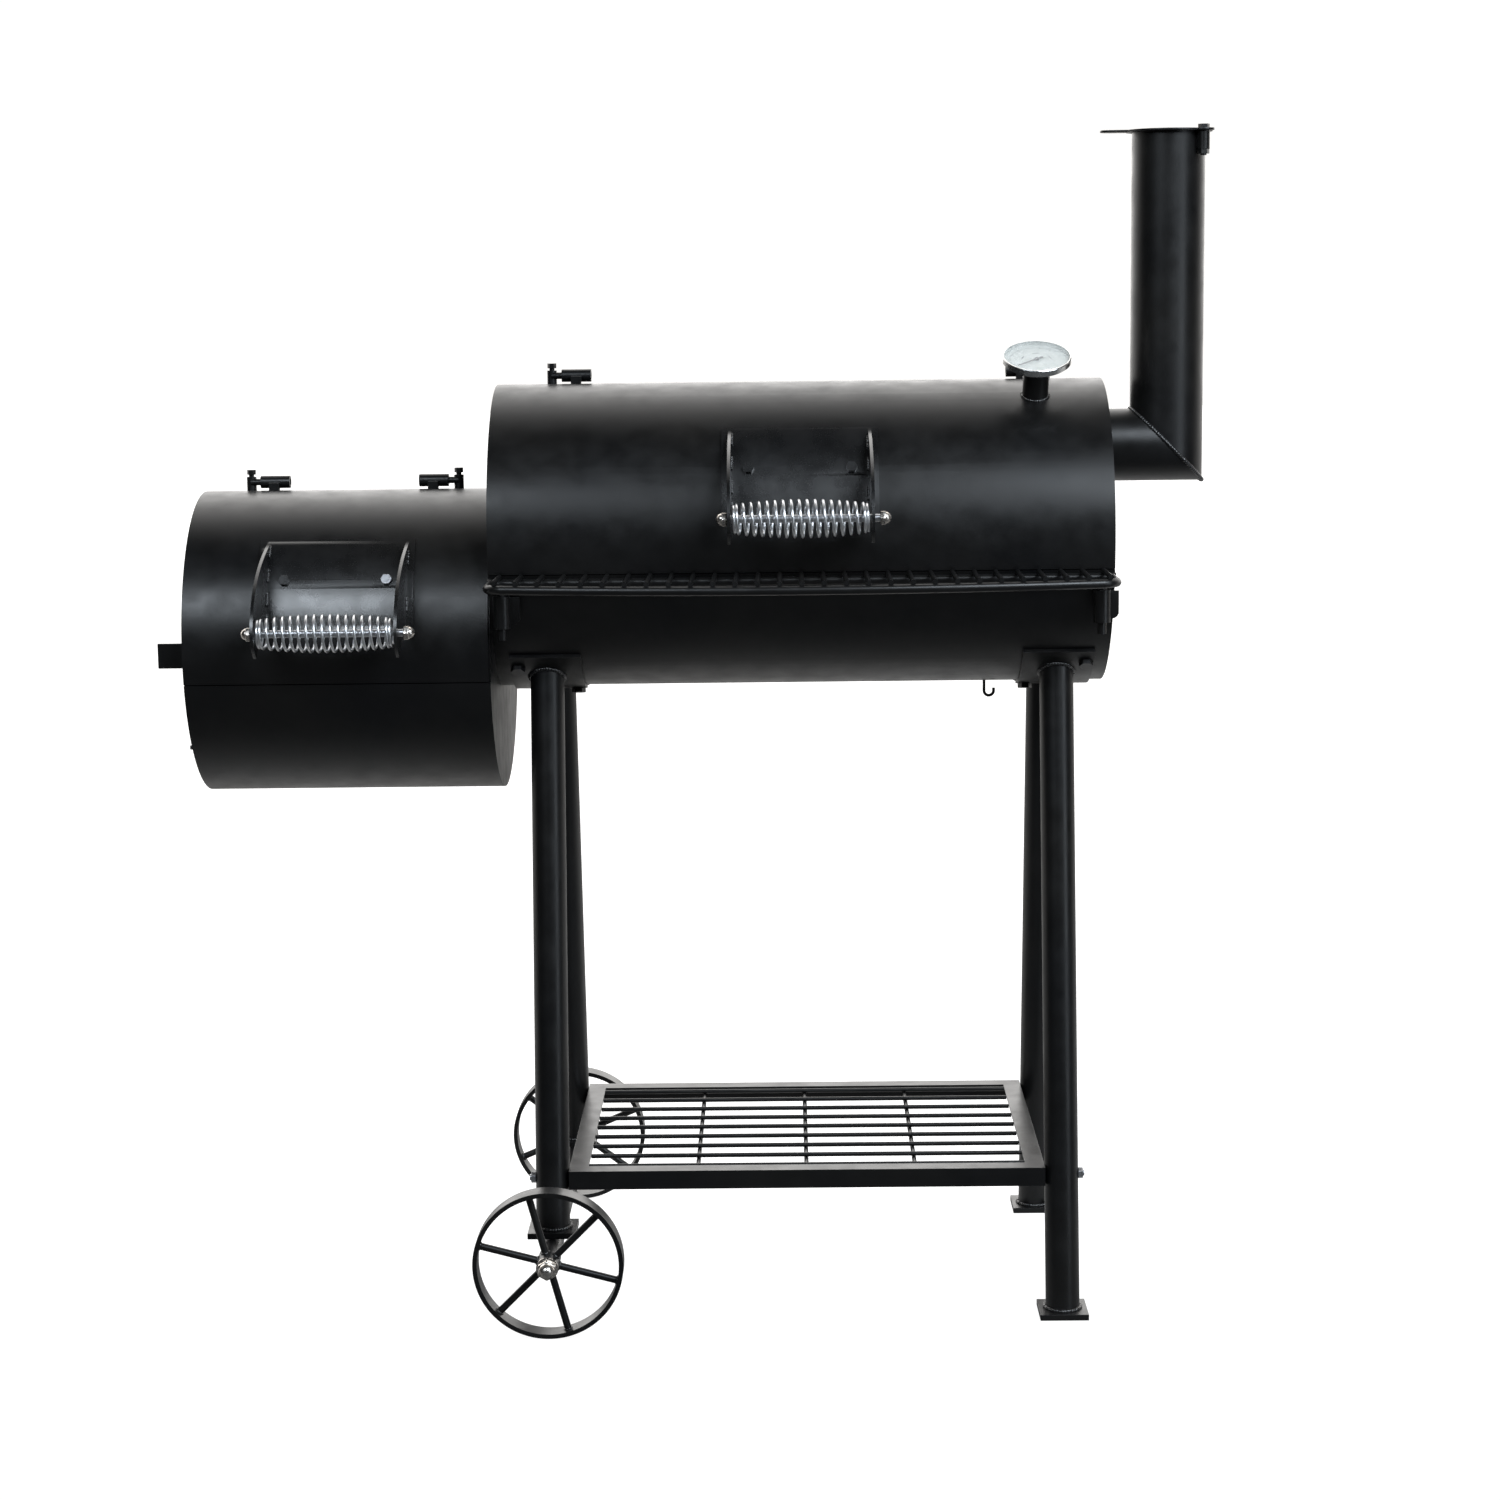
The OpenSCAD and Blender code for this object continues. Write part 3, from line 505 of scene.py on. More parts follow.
@dataclass(frozen=True)
class Tube:
    """A round wire swept along points, with a thickness factor at each point."""

    points: Sequence[Vector]
    radius: float
    factors: Sequence[float] = ()
    roundness: int = 2
    closed: bool = False

    def build(self, name: str) -> Object:
        """Sweeps the wire as a curve and turns it into a mesh.

        Args:
            name: The name that the object bears.

        Returns:
            The mesh object.
        """
        curve = bpy.data.curves.new(name, "CURVE")
        curve.dimensions = "3D"
        curve.bevel_depth = self.radius
        curve.bevel_resolution = self.roundness
        curve.use_fill_caps = not self.closed
        spline = curve.splines.new("POLY")
        spline.points.add(len(self.points) - 1)
        spline.use_cyclic_u = self.closed
        for index, point in enumerate(self.points):
            spline.points[index].co = (*point, 1.0)
            spline.points[index].radius = self.factors[index] if self.factors else 1.0
        obj = bpy.data.objects.new(name, curve)
        bpy.context.scene.collection.objects.link(obj)
        only(obj)
        bpy.ops.object.convert(target="MESH")
        made = bpy.context.object
        only(made)
        bpy.ops.object.mode_set(mode="EDIT")
        bpy.ops.mesh.select_all(action="SELECT")
        bpy.ops.mesh.remove_doubles(threshold=0.000001)
        bpy.ops.mesh.normals_make_consistent(inside=False)
        bpy.ops.object.mode_set(mode="OBJECT")
        smooth(made, 70.0)
        return made


@dataclass
class WeldBeads:
    """Hand-laid weld beads: swept ridges whose ripples follow the weld pool."""

    name: str
    body: str
    shop: Workshop
    ripple: float = 3.4 * MM
    steps: int = 4
    seed: int = 5
    swell_range: tuple[float, float] = (0.86, 1.12)
    trough: float = 0.86
    crest: float = 0.22
    end_size: float = 0.45
    end_growth: float = 9.0
    beads: list[Object] = field(default_factory=list)

    def lay(self, path: Callable[[float], Vector], width: float, closed: bool = False) -> None:
        """Lays one bead along a path.

        Args:
            path: Gives the point at each share of the way, from 0 to 1.
            width: The bead's width in metres.
            closed: Whether the path ends where it began.
        """
        ripples = max(2, round(self._length(path) / self.ripple))
        count = ripples * self.steps
        draw = random.Random(self.seed + len(self.beads))
        swells = [draw.uniform(*self.swell_range) for _ in range(ripples + 1)]
        points, factors = [], []
        for i in range(count + (0 if closed else 1)):
            share = i / count
            within = (i % self.steps) / self.steps
            swell = swells[(i // self.steps) % ripples]
            taper = 1.0 if closed else min(1.0, self.end_size + self.end_growth * min(share, 1.0 - share))
            points.append(path(share))
            factors.append(taper * swell * (self.trough + self.crest * math.sin(math.pi * within)))
        self.beads.append(Tube(points, width / 2, factors, closed=closed).build(self.name))

    @staticmethod
    def _length(path: Callable[[float], Vector], chords: int = 40) -> float:
        """A path's length, measured along so many chords."""
        return sum((path(i / chords) - path((i + 1) / chords)).length for i in range(chords))

    def finish(self) -> None:
        """Joins the beads into one piece, paints it and sets it on its body."""
        piece = join(self.name, self.beads)
        self.shop.dress(piece, Finish.BEAD)
        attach(piece, self.body)
        LOG.info("%s: %d beads on %s", self.name, len(self.beads), self.body)


# ---- the smoker's parts ----


@dataclass(frozen=True)
class Barrel:
    """A barrel's measures, read from its body shell."""

    left: float
    right: float
    radius: float
    axis_z: float

    @classmethod
    def of(cls, node: str) -> "Barrel":
        """Reads a barrel from the box of its body shell."""
        low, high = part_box(node)
        return cls(low.x, high.x, high.y, low.z + high.y)

    @property
    def middle(self) -> float:
        """The middle of the barrel along X."""
        return (self.left + self.right) / 2

    def point(self, x: float, angle: float, radius: float) -> Vector:
        """A point at an angle from the top towards the front, in degrees, at a radius."""
        turn = math.radians(angle)
        return Vector((x, -radius * math.sin(turn), self.axis_z + radius * math.cos(turn)))

    def arc(self, x: float, start: float, angle: float, radius: float) -> Callable[[float], Vector]:
        """An arc about the axis that begins at one angle and runs on by another, by shares of its way."""
        return lambda t: self.point(x, start + angle * t, radius)


@dataclass
class EasedNodes:
    """CAD nodes shown as copies whose sharp edges are eased and whose shading is smooth."""

    shop: Workshop
    nodes: dict[str, Object]
    body_of: dict[str, str]
    slots: dict[str, str]
    merge_gap: float = 0.004 * MM
    flat_angle: float = 0.04

    def show(self, node: str, finish: Finish, width: float = 0.6, corner: float = 32.0) -> Object:
        """Shows a node as an eased copy.

        Args:
            node: The CAD node's name.
            finish: The copy's finish.
            width: The eased edge's width in millimetres.
            corner: The smallest angle, in degrees, that is eased.

        Returns:
            The copy.
        """
        piece = bpy.data.objects.new(node + "_eased", self.nodes[node].data.copy())
        bpy.context.scene.collection.objects.link(piece)
        only(piece)
        bpy.ops.object.mode_set(mode="EDIT")
        bpy.ops.mesh.select_all(action="SELECT")
        bpy.ops.mesh.remove_doubles(threshold=self.merge_gap)
        bpy.ops.mesh.dissolve_limited(angle_limit=math.radians(self.flat_angle))
        bpy.ops.object.mode_set(mode="OBJECT")
        bevel(piece, width * MM, 2, corner)
        smooth(piece, 30.0)
        weigh_normals(piece)
        self.shop.dress(piece, finish)
        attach(piece, self.body_of[node])
        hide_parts(node)
        LOG.info("%s eased by %.1f mm", node, width)
        return piece


@dataclass
class CoilGrip:
    """A barrel-shaped coil of spring wire round a grip rod."""

    node: str
    body: str
    shop: Workshop
    turns: int = 19
    closed_turns: float = 1.6
    steps: int = 26
    wire: float = 1.9 * MM
    end_radius: float = 18.0 * MM
    mid_radius: float = 25.0 * MM

    def build(self) -> None:
        """Winds the wire about the middle of the CAD coil's box."""
        low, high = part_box(self.node)
        centre = (low + high) / 2
        reach = (high.x - low.x) / 2 - self.wire
        count = self.turns * self.steps
        points = [self._point(centre, reach, i / count) for i in range(count + 1)]
        piece = Tube(points, self.wire, roundness=3).build(self.node + "_wire")
        self.shop.dress(piece, Finish.CHROME)
        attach(piece, self.body)
        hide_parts(self.node)
        LOG.info("%s: %d turns", piece.name, self.turns)

    def _point(self, centre: Vector, reach: float, share: float) -> Vector:
        """A point on the wire's centre line.

        Args:
            centre: The coil's centre.
            reach: From the centre to the wire's centre line at either end.
            share: The share of the wire's turns that lie before the point.

        Returns:
            The point.
        """
        turn = 2 * math.pi * self.turns * share
        along = 2 * share - 1
        radius = self.end_radius + (self.mid_radius - self.end_radius) * (1 - along * along) - self.wire
        shift = self._shift(reach, share)
        return centre + Vector((shift, radius * math.cos(turn), radius * math.sin(turn)))

    def _shift(self, reach: float, share: float) -> float:
        """Places the wire along X: its end turns are closed and the others are evenly open.

        Args:
            reach: From the centre to the wire's centre line at either end.
            share: The share of the wire's turns that lie before the point.

        Returns:
            The distance from the coil's centre, negative on the left.
        """
        done = share * self.turns
        closed_pitch = 2.1 * self.wire
        open_pitch = (2 * reach - 2 * self.closed_turns * closed_pitch) / (self.turns - 2 * self.closed_turns)
        first = min(done, self.closed_turns)
        last = max(0.0, done - (self.turns - self.closed_turns))
        between = done - first - last
        return (first + last) * closed_pitch + between * open_pitch - reach


@dataclass
class CapNuts:
    """Domed cap nuts: a rounded hexagon, a collar and a dome, copied to each end of a rod."""

    node: str
    body: str
    shop: Workshop
    across_corners: float
    height: float
    seats: list[tuple[Vector, Vector]]
    washer: float = 0.0
    dome_share: float = 0.80
    hexagon_share: float = 0.5
    rounding_share: float = 0.11
    washer_share: float = 1.09

    def build(self) -> None:
        """Models one nut on +Z at the origin and copies it to its seats."""
        nut = self._nut()
        copies = [copied(nut, Matrix.Translation(seat) @ turned_to(axis)) for seat, axis in self.seats]
        bpy.data.objects.remove(nut)
        piece = join(self.node + "_domed", copies)
        smooth(piece, 30.0)
        self.shop.dress(piece, Finish.NICKEL)
        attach(piece, self.body)
        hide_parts(self.node)
        LOG.info("%s: %d nuts", piece.name, len(self.seats))

    def _nut(self) -> Object:
        """Models one nut, whose dome stands on a collar, with a washer under it where it has one.

        Returns:
            The nut, on +Z above the origin.
        """
        radius = self.across_corners / 2
        dome = radius * self.dome_share
        collar_height = self.height - dome
        hexagon_height = self.height * self.hexagon_share
        bpy.ops.mesh.primitive_cylinder_add(
            vertices=6, radius=radius, depth=hexagon_height, location=(0, 0, self.washer + hexagon_height / 2)
        )
        hexagon = bpy.context.object
        bevel(hexagon, radius * self.rounding_share, 3, 50.0)
        bpy.ops.mesh.primitive_cylinder_add(
            vertices=40, radius=dome, depth=collar_height, location=(0, 0, self.washer + collar_height / 2)
        )
        collar = bpy.context.object
        bpy.ops.mesh.primitive_uv_sphere_add(
            segments=40, ring_count=24, radius=dome, location=(0, 0, self.washer + collar_height)
        )
        ball = bpy.context.object
        parts = [hexagon, collar, ball]
        if self.washer:
            bpy.ops.mesh.primitive_cylinder_add(
                vertices=48,
                radius=radius * self.washer_share,
                depth=self.washer,
                location=(0, 0, self.washer / 2),
            )
            washer = bpy.context.object
            bevel(washer, 0.4 * MM, 2, 50.0)
            parts.append(washer)
        return join("nut", parts)


@dataclass
class Gauge:
    """The thermometer's printed marks: a ring of strokes and three zone bars."""

    shop: Workshop
    majors: int = 10
    minors: int = 5
    sweep: float = 250.0
    rim: float = 36.5 * MM
    major_stroke: tuple[float, float] = (0.8 * MM, 4.6 * MM)
    minor_stroke: tuple[float, float] = (0.4 * MM, 2.6 * MM)
    zones: int = 3
    zone_pitch: float = 70.0
    zone_radius: float = 19.0 * MM
    zone_bar: tuple[float, float] = (9.0 * MM, 1.2 * MM)
    dial_half: float = 0.4 * MM
    thickness: float = 0.12 * MM

    def build(self) -> None:
        """Prints the strokes and the zone bars on the dial."""
        low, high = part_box("thermometer_dial")
        axis = self._axis()
        centre = (low + high) / 2 + axis * (self.dial_half + self.thickness / 2)
        frame = Matrix.Translation(centre) @ turned_to(axis)
        bpy.ops.mesh.primitive_cube_add(size=1)
        bar = bpy.context.object
        total = self.majors * self.minors
        marks = []
        for step in range(total + 1):
            stroke = self.major_stroke if step % self.minors == 0 else self.minor_stroke
            turn = 90 - self.sweep / 2 + self.sweep * step / total
            marks.append(copied(bar, frame @ self._mark(turn, self.rim - stroke[1] / 2, stroke)))
        for step in range(self.zones):
            turn = self.zone_pitch * (step - (self.zones - 1) / 2)
            marks.append(copied(bar, frame @ self._mark(turn, self.zone_radius, self.zone_bar)))
        bpy.data.objects.remove(bar)
        piece = join("dial_marks", marks)
        self.shop.dress(piece, Finish.DIAL_MARK)
        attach(piece, "cook_lid")
        LOG.info("dial_marks: %d marks", len(marks))

    def _mark(self, turn: float, radius: float, size: tuple[float, float]) -> Matrix:
        """Places a mark on the dial.

        Args:
            turn: Its angle in degrees.
            radius: From the dial's centre to the mark's.
            size: Its width and its length along the radius.

        Returns:
            The matrix that makes a unit cube the mark.
        """
        radial = Matrix.Rotation(math.radians(turn), 4, "Z") @ Matrix.Translation((0, radius, 0))
        return radial @ Matrix.Diagonal((*size, self.thickness, 1))

    @staticmethod
    def _axis() -> Vector:
        """The gauge's own axis, from its dial to its glass."""
        dial_low, dial_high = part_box("thermometer_dial")
        glass_low, glass_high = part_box("thermometer_glass")
        return ((glass_low + glass_high) / 2 - (dial_low + dial_high) / 2).normalized()


@dataclass
class Smoker:
    """The whole smoker, dressed node by node."""

    shop: Workshop
    frame: dict
    bracket_plate: float = 4.0 * MM
    cheek_reach: float = 93.0 * MM
    inner_tacks: tuple[tuple[int, ...], ...] = ((47, 57, 66, 74), (49, 58, 69))
    inner_tack_angle: float = 5.5
    outer_tacks: tuple[int, ...] = (50, 68)
    outer_tack_angle: float = 6.0
    grip_nut_corners: float = 19.6 * MM
    grip_nut_height: float = 14.0 * MM
    axle_nut_corners: float = 27.0 * MM
    axle_nut_height: float = 21.0 * MM
    axle_washer: float = 2.2 * MM
    saddle_plate: float = 5.0 * MM
    leg_radius: float = 22.5 * MM
    leg_top_y: float = 103.0 * MM
    leg_top_drop: float = 179.4 * MM
    pad_half: float = 32.0 * MM
    hub_radius: float = 14.5 * MM
    wheel_rim_inner: float = 92.4 * MM
    spokes: int = 6
    spoke_radius: float = 4.75 * MM
    spoke_inset: float = 20.0 * MM
    front_spoke: float = 45.0
    rear_spoke: float = 7.0
    gauge_tilt: float = 25.0
    bead_lift: float = 0.6 * MM
    small_lift: float = 0.3 * MM
    body_of: dict[str, str] = field(init=False)
    slots: dict[str, str] = field(init=False)
    cook: Barrel = field(init=False)
    fire: Barrel = field(init=False)

    def __post_init__(self) -> None:
        """Looks up each node's body and material slot, and measures both barrels."""
        behaviour = self.frame["record"]["behaviour"]
        self.body_of = {n: body for body, names in behaviour["bodies"].items() for n in names}
        self.slots = {s["node"]: s["material_slot"] for s in self.frame["record"]["subparts"]}
        self.cook = Barrel.of("cook_barrel")
        self.fire = Barrel.of("firebox_barrel")

    def build(self) -> None:
        """Dresses the CAD nodes and adds the pieces that the CAD leaves plain."""
        self.dress_nodes()
        self.ease_edges()
        self.handles()
        self.axle_nuts()
        Gauge(self.shop).build()
        self.handle_welds("cook_handle", "cook_lid", self.cook)
        self.handle_welds("firebox_handle", "firebox_lid", self.fire)
        self.chimney_welds()
        self.stand_welds()
        self.wheel_welds("wheel_front", -1)
        self.wheel_welds("wheel_rear", 1)
        self.gauge_weld()

    def dress_nodes(self) -> None:
        """Gives every CAD node the finish of its material slot."""
        by_slot = {
            "heat_paint": Finish.PAINT,
            "bare_steel": Finish.GRATE,
            "coil_chrome": Finish.CHROME,
            "cap_nut_nickel": Finish.NICKEL,
            "zinc_plate": Finish.ZINC,
            "black_oxide": Finish.BLACK_BOLT,
            "gauge_steel": Finish.STAINLESS,
            "gauge_dial": Finish.DIAL,
            "needle_paint": Finish.NEEDLE,
            "gauge_glass": Finish.GLASS,
        }
        for node, obj in self.frame["nodes"].items():
            self.shop.dress(obj, by_slot[self.slots[node]])
        LOG.info("%d nodes dressed", len(self.frame["nodes"]))

    def ease_edges(self) -> None:
        """Eases the edges that catch the light."""
        eased = EasedNodes(self.shop, self.frame["nodes"], self.body_of, self.slots)
        for node in ("cook_handle_bracket", "firebox_handle_bracket"):
            eased.show(node, Finish.BRACKET, 0.5)
        for node in ("shelf_frame", "foot_pads"):
            eased.show(node, Finish.PAINT, 0.5)
        for node in ("leg_saddles", "chimney_damper", "air_damper", "tray_sockets"):
            eased.show(node, Finish.PAINT, 0.8)
        for node in ("cook_hinge_barrels", "cook_hinge_pins", "firebox_hinge_barrels", "firebox_hinge_pins"):
            eased.show(node, Finish.PAINT, 0.5)
        for node in ("saddle_bolts", "cook_handle_bolts", "air_damper_bolt", "damper_bolt"):
            eased.show(node, Finish.BLACK_BOLT, 0.7)
        eased.show("shelf_bolts", Finish.ZINC, 0.6)
        bolts = eased.show("firebox_handle_bolts", Finish.BLACK_BOLT, 0.7)
        self.brighten_right_bolt(bolts)

    def brighten_right_bolt(self, bolts: Object) -> None:
        """Leaves the firebox handle's right-hand bolts unpainted, as plated steel.

        Args:
            bolts: The firebox handle's eased bolts.
        """
        bolts.data.materials.append(self.shop.material(Finish.ZINC))
        for face in bolts.data.polygons:
            face.material_index = 1 if face.center.x > self.fire.middle else 0

    def handles(self) -> None:
        """Winds both coil grips and sets the cap nuts on their rods."""
        for handle, body in (("cook_handle", "cook_lid"), ("firebox_handle", "firebox_lid")):
            CoilGrip(handle + "_coil", body, self.shop).build()
            low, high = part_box(handle + "_cap_nuts")
            middle = (low + high) / 2
            height = self.grip_nut_height
            seats = [
                (Vector((low.x + height, middle.y, middle.z)), Vector((-1, 0, 0))),
                (Vector((high.x - height, middle.y, middle.z)), Vector((1, 0, 0))),
            ]
            CapNuts(handle + "_cap_nuts", body, self.shop, self.grip_nut_corners, height, seats).build()

    def axle_nuts(self) -> None:
        """Sets a washer and a cap nut on each end of the axle."""
        low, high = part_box("axle_cap_nuts")
        middle = (low + high) / 2
        stack = self.axle_washer + self.axle_nut_height
        seats = [
            (Vector((middle.x, low.y + stack, middle.z)), Vector((0, -1, 0))),
            (Vector((middle.x, high.y - stack, middle.z)), Vector((0, 1, 0))),
        ]
        sizes = (self.axle_nut_corners, self.axle_nut_height)
        CapNuts("axle_cap_nuts", "root", self.shop, *sizes, seats, self.axle_washer).build()

    def handle_welds(self, handle: str, body: str, barrel: Barrel) -> None:
        """Tacks each cheek to its curved plate with short beads along both of its corners.

        Args:
            handle: The handle's name, which its nodes' names start with.
            body: The lid that the handle is on.
            barrel: The barrel that the lid closes.
        """
        welds = WeldBeads(handle + "_welds", body, self.shop, seed=len(handle))
        radius = barrel.radius + self.bracket_plate + self.bead_lift
        for side, starts in zip((-1, 1), self.inner_tacks):
            inner = barrel.middle + side * (self.cheek_reach - self.bracket_plate - self.bead_lift)
            outer = barrel.middle + side * (self.cheek_reach + 0.4 * MM)
            for start in starts:
                welds.lay(barrel.arc(inner, start, self.inner_tack_angle, radius), 5.2 * MM)
            for start in self.outer_tacks:
                welds.lay(barrel.arc(outer, start, self.outer_tack_angle, radius), 3.6 * MM)
        welds.finish()

    def chimney_welds(self) -> None:
        """Welds the stub to the end plate and the stack to the stub along their mitre."""
        welds = WeldBeads("chimney_welds", "root", self.shop, seed=31)
        stub_low, stub_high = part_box("chimney_stub")
        stack_low, stack_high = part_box("chimney_stack")
        radius = (stack_high.y - stack_low.y) / 2
        stub_z = (stub_low.z + stub_high.z) / 2
        stack_x = (stack_low.x + stack_high.x) / 2
        root = Vector((stub_low.x + 0.8 * MM, 0, stub_z))

        def mitre(t: float) -> Vector:
            """The ellipse where the stub and the stack meet."""
            turn = 2 * math.pi * t
            rise = radius * math.sin(turn)
            return Vector((stack_x - rise, radius * math.cos(turn), stub_z + rise))

        welds.lay(ring(root, Y_AXIS, Z_AXIS, radius + self.bead_lift), 6.0 * MM, True)
        welds.lay(mitre, 5.4 * MM, True)
        welds.finish()

    def stand_welds(self) -> None:
        """Welds the legs to their saddles and foot pads."""
        welds = WeldBeads("stand_welds", "root", self.shop, seed=17)
        floor_y, lean = self._leg_line()
        for end in ("left", "right"):
            for row, side in (("front", -1), ("rear", 1)):
                low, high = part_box(f"leg_{row}_{end}")
                x = (low.x + high.x) / 2
                foot_y = floor_y - low.z * math.tan(lean)
                foot = Vector((x, side * foot_y, low.z + 1.0 * MM))
                welds.lay(self._leg_top(x, side, floor_y, lean), 6.5 * MM, True)
                welds.lay(ring(foot, X_AXIS, Y_AXIS, self.leg_radius + self.bead_lift), 6.0 * MM, True)
        welds.finish()

    def _leg_line(self) -> tuple[float, float]:
        """Finds the line that the four legs' axes share, mirrored front to rear.

        Returns:
            The axis's distance from the middle at the floor, and its lean in radians.
        """
        floor_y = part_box("foot_pads")[1].y - self.pad_half
        top_z = self.cook.axis_z - self.leg_top_drop
        return floor_y, math.atan((floor_y - self.leg_top_y) / top_z)

    def _leg_top(self, x: float, side: int, floor_y: float, lean: float) -> Callable[[float], Vector]:
        """Describes the curve where a leaning leg meets its saddle.

        Args:
            x: The leg's place along X.
            side: -1 for a front leg and 1 for a rear one.
            floor_y: The axis's distance from the middle at the floor.
            lean: The axis's lean in radians.

        Returns:
            A function that gives the point at each share of the way round.
        """
        axis = Vector((0, -side * math.sin(lean), math.cos(lean)))
        foot = Vector((x, side * floor_y, 0))
        across = Vector((0, side * math.cos(lean), math.sin(lean)))
        around = ring(foot, X_AXIS, across, self.leg_radius)
        centre = Vector((0, 0, self.cook.axis_z))
        seat_radius = self.cook.radius + self.saddle_plate

        def path(t: float) -> Vector:
            """Runs up the leg's surface until the saddle's radius is met."""
            start = around(t)
            offset = start - centre
            b = offset.y * axis.y + offset.z * axis.z
            c = offset.y**2 + offset.z**2 - seat_radius**2
            return start + axis * (-b - math.sqrt(b * b - c))

        return path

    def wheel_welds(self, node: str, side: int) -> None:
        """Welds each spoke to its hub and its rim.

        Args:
            node: The wheel's name, which is its body's name too.
            side: -1 for the front wheel and 1 for the rear one.
        """
        welds = WeldBeads(node + "_welds", node, self.shop, ripple=2.6 * MM, seed=41 + side)
        low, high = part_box(node)
        axle_low, axle_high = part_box("axle")
        spoke_y = low.y + self.spoke_inset if side < 0 else high.y - self.spoke_inset
        centre = Vector(((axle_low.x + axle_high.x) / 2, spoke_y, (axle_low.z + axle_high.z) / 2))
        first = self.front_spoke if side < 0 else self.rear_spoke
        for k in range(self.spokes):
            turn = math.radians(first + 360 / self.spokes * k)
            out = Vector((math.sin(turn), 0, math.cos(turn)))
            across = Vector((math.cos(turn), 0, -math.sin(turn)))
            for reach in (self.hub_radius + self.small_lift, self.wheel_rim_inner - 0.4 * MM):
                welds.lay(ring(centre + out * reach, across, Y_AXIS, self.spoke_radius), 3.0 * MM, True)
        welds.finish()

    def gauge_weld(self) -> None:
        """Welds the gauge's socket to the lid."""
        weld = WeldBeads("gauge_socket_weld", "cook_lid", self.shop, ripple=2.8 * MM, seed=59)
        low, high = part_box("thermometer_socket")
        x = (low.x + high.x) / 2
        radius = (high.x - low.x) / 2 + self.small_lift
        tilt = math.radians(self.gauge_tilt)

        def path(t: float) -> Vector:
            """The curve where the socket meets the lid."""
            turn = 2 * math.pi * t
            side = radius * math.sin(turn)
            height = math.sqrt(self.cook.radius**2 - side**2) + self.small_lift
            y = side * math.cos(tilt) - height * math.sin(tilt)
            z = self.cook.axis_z + side * math.sin(tilt) + height * math.cos(tilt)
            return Vector((x + radius * math.cos(turn), y, z))

        weld.lay(path, 4.4 * MM, True)
        weld.finish()


# ---- studio ----


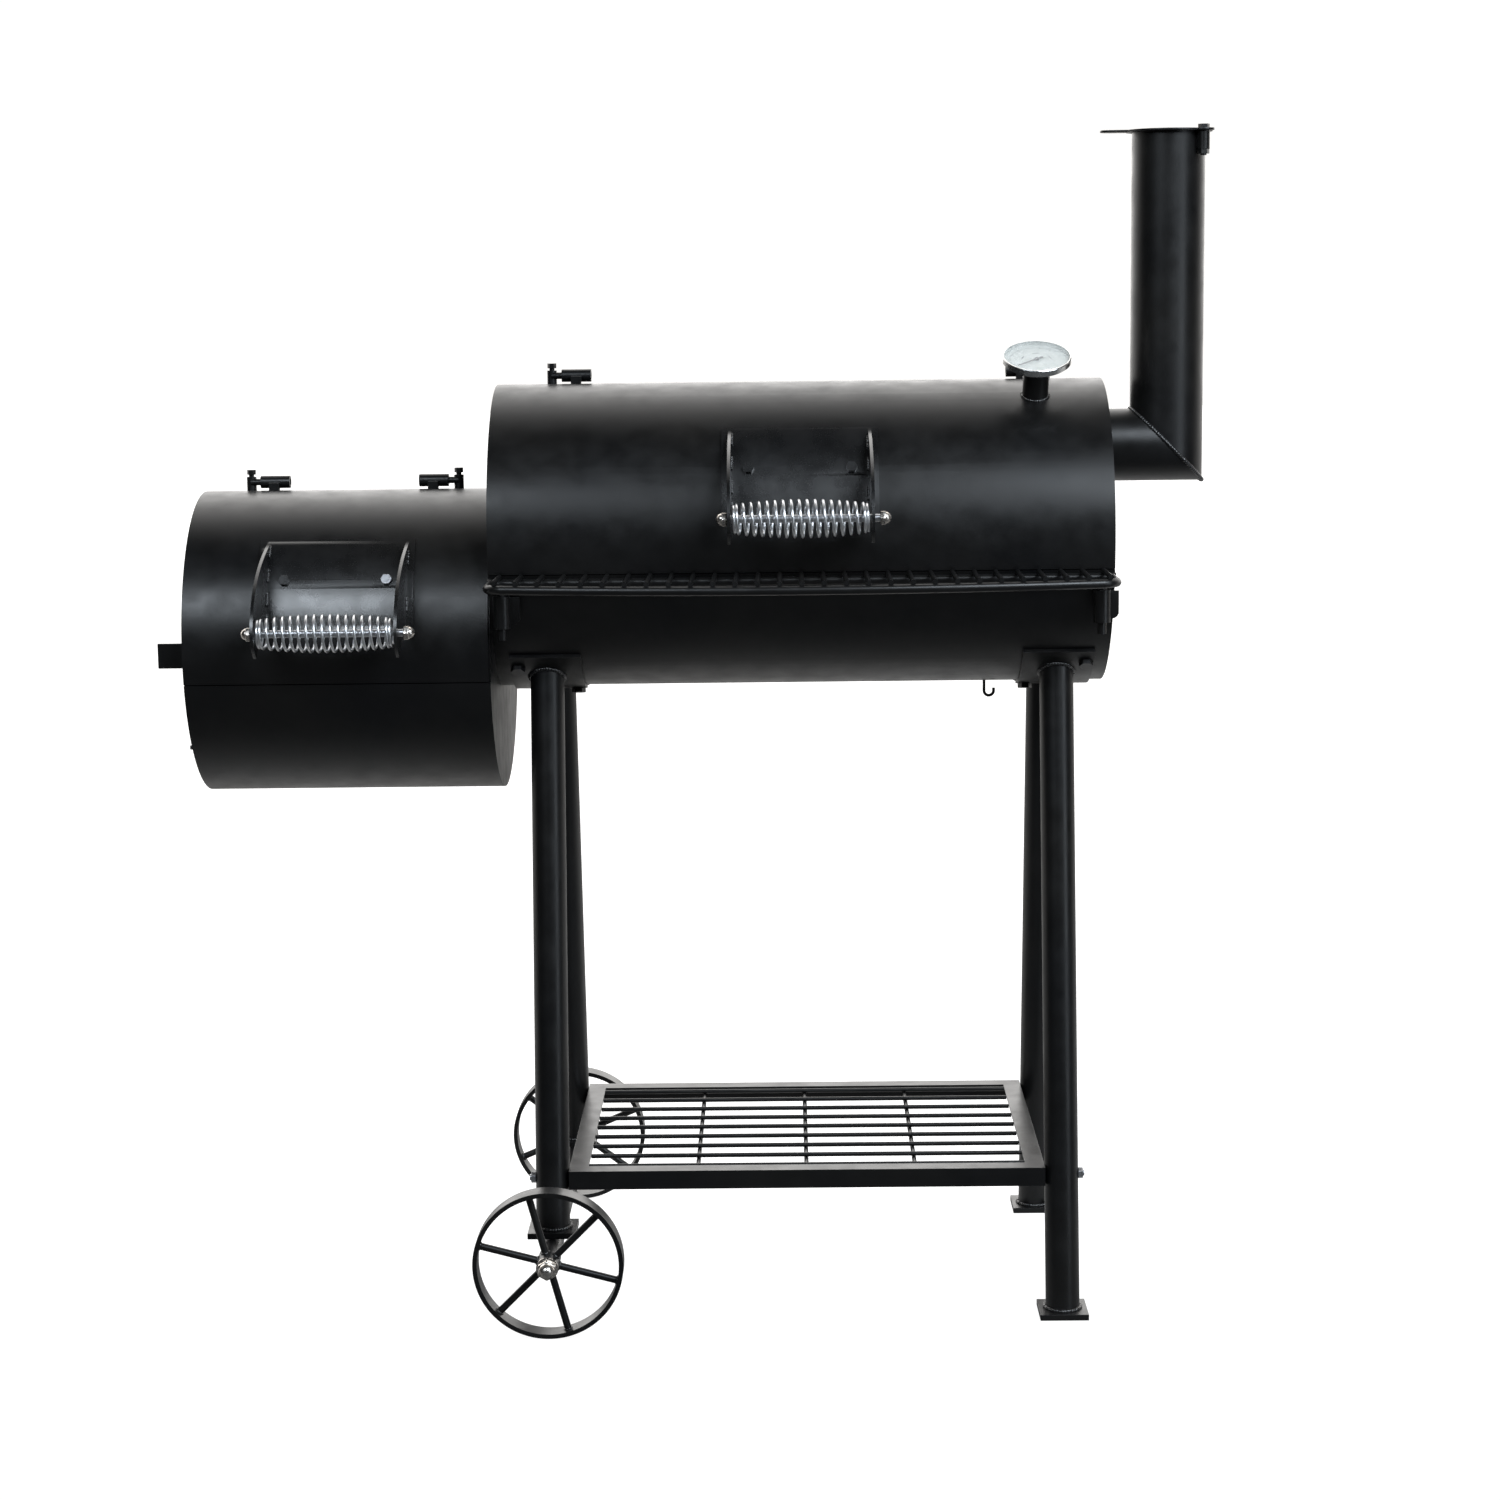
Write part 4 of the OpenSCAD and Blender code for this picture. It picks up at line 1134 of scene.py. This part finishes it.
@dataclass
class Studio:
    """A white studio with soft boxes above and beside the smoker."""

    lens: float = 70.78
    sensor: float = 36.0
    eye: tuple[float, float, float] = (0.12342, -3.99725, 1.34785)
    yaw: float = -0.71
    pitch: float = 8.84
    roll: float = -0.70
    floor_front: Colour = (0.05, 0.05, 0.05)
    floor_rear: Colour = (0.60, 0.59, 0.575)
    floor_seen: float = 0.95
    light_tint: Colour = (0.84, 0.92, 1.0)
    sky_tint: Colour = (1.0, 0.985, 0.965)
    sky_slope: Colour = (0.0, 1.0, 0.12)
    sky_fade: tuple[float, float, float, float] = (0.05, 1.0, 0.004, 2.5)
    sky_seen: float = 1.05

    def build(self) -> None:
        """Sets the camera, the floor, the surroundings and the lights."""
        self.camera()
        self.floor()
        self.surroundings()
        tint = self.light_tint
        self.soft_box("box_front_right", (2.2, -3.0, 3.4), (2.4, 1.9), (0.2, 0.0, 0.95), 150.0, tint)
        self.soft_box("box_front_left", (-1.5, -3.3, 3.1), (1.5, 1.0), (-0.4, 0.0, 0.9), 48.0, tint)
        self.soft_box("box_low_right", (2.6, -2.2, 0.9), (0.8, 1.6), (0.1, 0.0, 0.5), 9.0, tint)
        bpy.context.scene.view_settings.view_transform = "Standard"
        bpy.context.scene.view_settings.look = "None"

    def camera(self) -> None:
        """Sets the camera at the studio's viewing place, turn and lens."""
        y, p, r = (math.radians(a) for a in (self.yaw, self.pitch, self.roll))
        forward = Vector((math.sin(y) * math.cos(p), math.cos(y) * math.cos(p), -math.sin(p)))
        right = Vector((math.cos(y), -math.sin(y), 0.0))
        up = right.cross(forward)
        side = right * math.cos(r) + up * math.sin(r)
        top = up * math.cos(r) - right * math.sin(r)
        data = bpy.data.cameras.new("camera")
        data.lens = self.lens
        data.sensor_width = self.sensor
        camera = bpy.data.objects.new("camera", data)
        bpy.context.scene.collection.objects.link(camera)
        turn = Matrix((side, top, -forward)).transposed().to_4x4()
        camera.matrix_world = Matrix.Translation(self.eye) @ turn
        bpy.context.scene.camera = camera

    def floor(self) -> None:
        """Lays a floor that looks as pale as the surroundings and reflects less light in front."""
        bpy.ops.object.select_all(action="DESELECT")
        bpy.ops.mesh.primitive_plane_add(size=60, location=(0, 0, -0.0005))
        floor = bpy.context.object
        floor.name = "floor"
        recipe = Recipe("pale_floor")
        seen = recipe.node("ShaderNodeLightPath", {}, {}, "Is Camera Ray")
        depth = recipe.node("ShaderNodeSeparateXYZ", {}, {0: recipe.place}, "Y")
        recipe.set(
            Base_Color=recipe.blend(recipe.contrast(depth, -0.5, 0.5), self.floor_front, self.floor_rear),
            Roughness=0.9,
            Emission_Color=(1.0, 1.0, 1.0, 1.0),
            Emission_Strength=seen * self.floor_seen,
        )
        floor.data.materials.append(recipe.material)

    def surroundings(self) -> None:
        """Hangs a bright backdrop that curves overhead and fades out towards the camera."""
        world = bpy.data.worlds.new("studio")
        bpy.context.scene.world = world
        world.use_nodes = True
        tree = world.node_tree
        back = tree.nodes["Background"]
        path = tree.nodes.new("ShaderNodeLightPath")
        sky = tree.nodes.new("ShaderNodeTexCoord")
        slope = tree.nodes.new("ShaderNodeVectorMath")
        slope.operation = "DOT_PRODUCT"
        slope.inputs[1].default_value = self.sky_slope
        fade = tree.nodes.new("ShaderNodeMapRange")
        fade.interpolation_type = "SMOOTHSTEP"
        for index, value in enumerate(self.sky_fade, start=1):
            fade.inputs[index].default_value = value
        level = tree.nodes.new("ShaderNodeMapRange")
        level.inputs[4].default_value = self.sky_seen
        tree.links.new(sky.outputs["Generated"], slope.inputs[0])
        tree.links.new(slope.outputs["Value"], fade.inputs[0])
        tree.links.new(fade.outputs[0], level.inputs[3])
        tree.links.new(path.outputs["Is Camera Ray"], level.inputs[0])
        tree.links.new(level.outputs[0], back.inputs["Strength"])
        back.inputs["Color"].default_value = (*self.sky_tint, 1.0)

    @staticmethod
    def soft_box(
        name: str,
        place: tuple[float, float, float],
        size: tuple[float, float],
        target: tuple[float, float, float],
        watts: float,
        tint: Colour,
    ) -> None:
        """Hangs one rectangular light.

        Args:
            name: The light's name.
            place: Where it hangs.
            size: Its width and height.
            target: What it faces.
            watts: Its power.
            tint: Its colour.
        """
        data = bpy.data.lights.new(name, "AREA")
        data.color = tint
        data.shape = "RECTANGLE"
        data.size, data.size_y = size
        data.energy = watts
        light = bpy.data.objects.new(name, data)
        bpy.context.scene.collection.objects.link(light)
        light.location = place
        light.rotation_mode = "QUATERNION"
        light.rotation_quaternion = (Vector(target) - Vector(place)).to_track_quat("-Z", "Y")


def main() -> None:
    """Loads the frame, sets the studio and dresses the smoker."""
    logging.basicConfig(level=logging.INFO, format="%(name)s: %(message)s")
    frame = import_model()
    Studio().build()
    Smoker(Workshop(), frame).build()


if __name__ == "__main__":
    main()
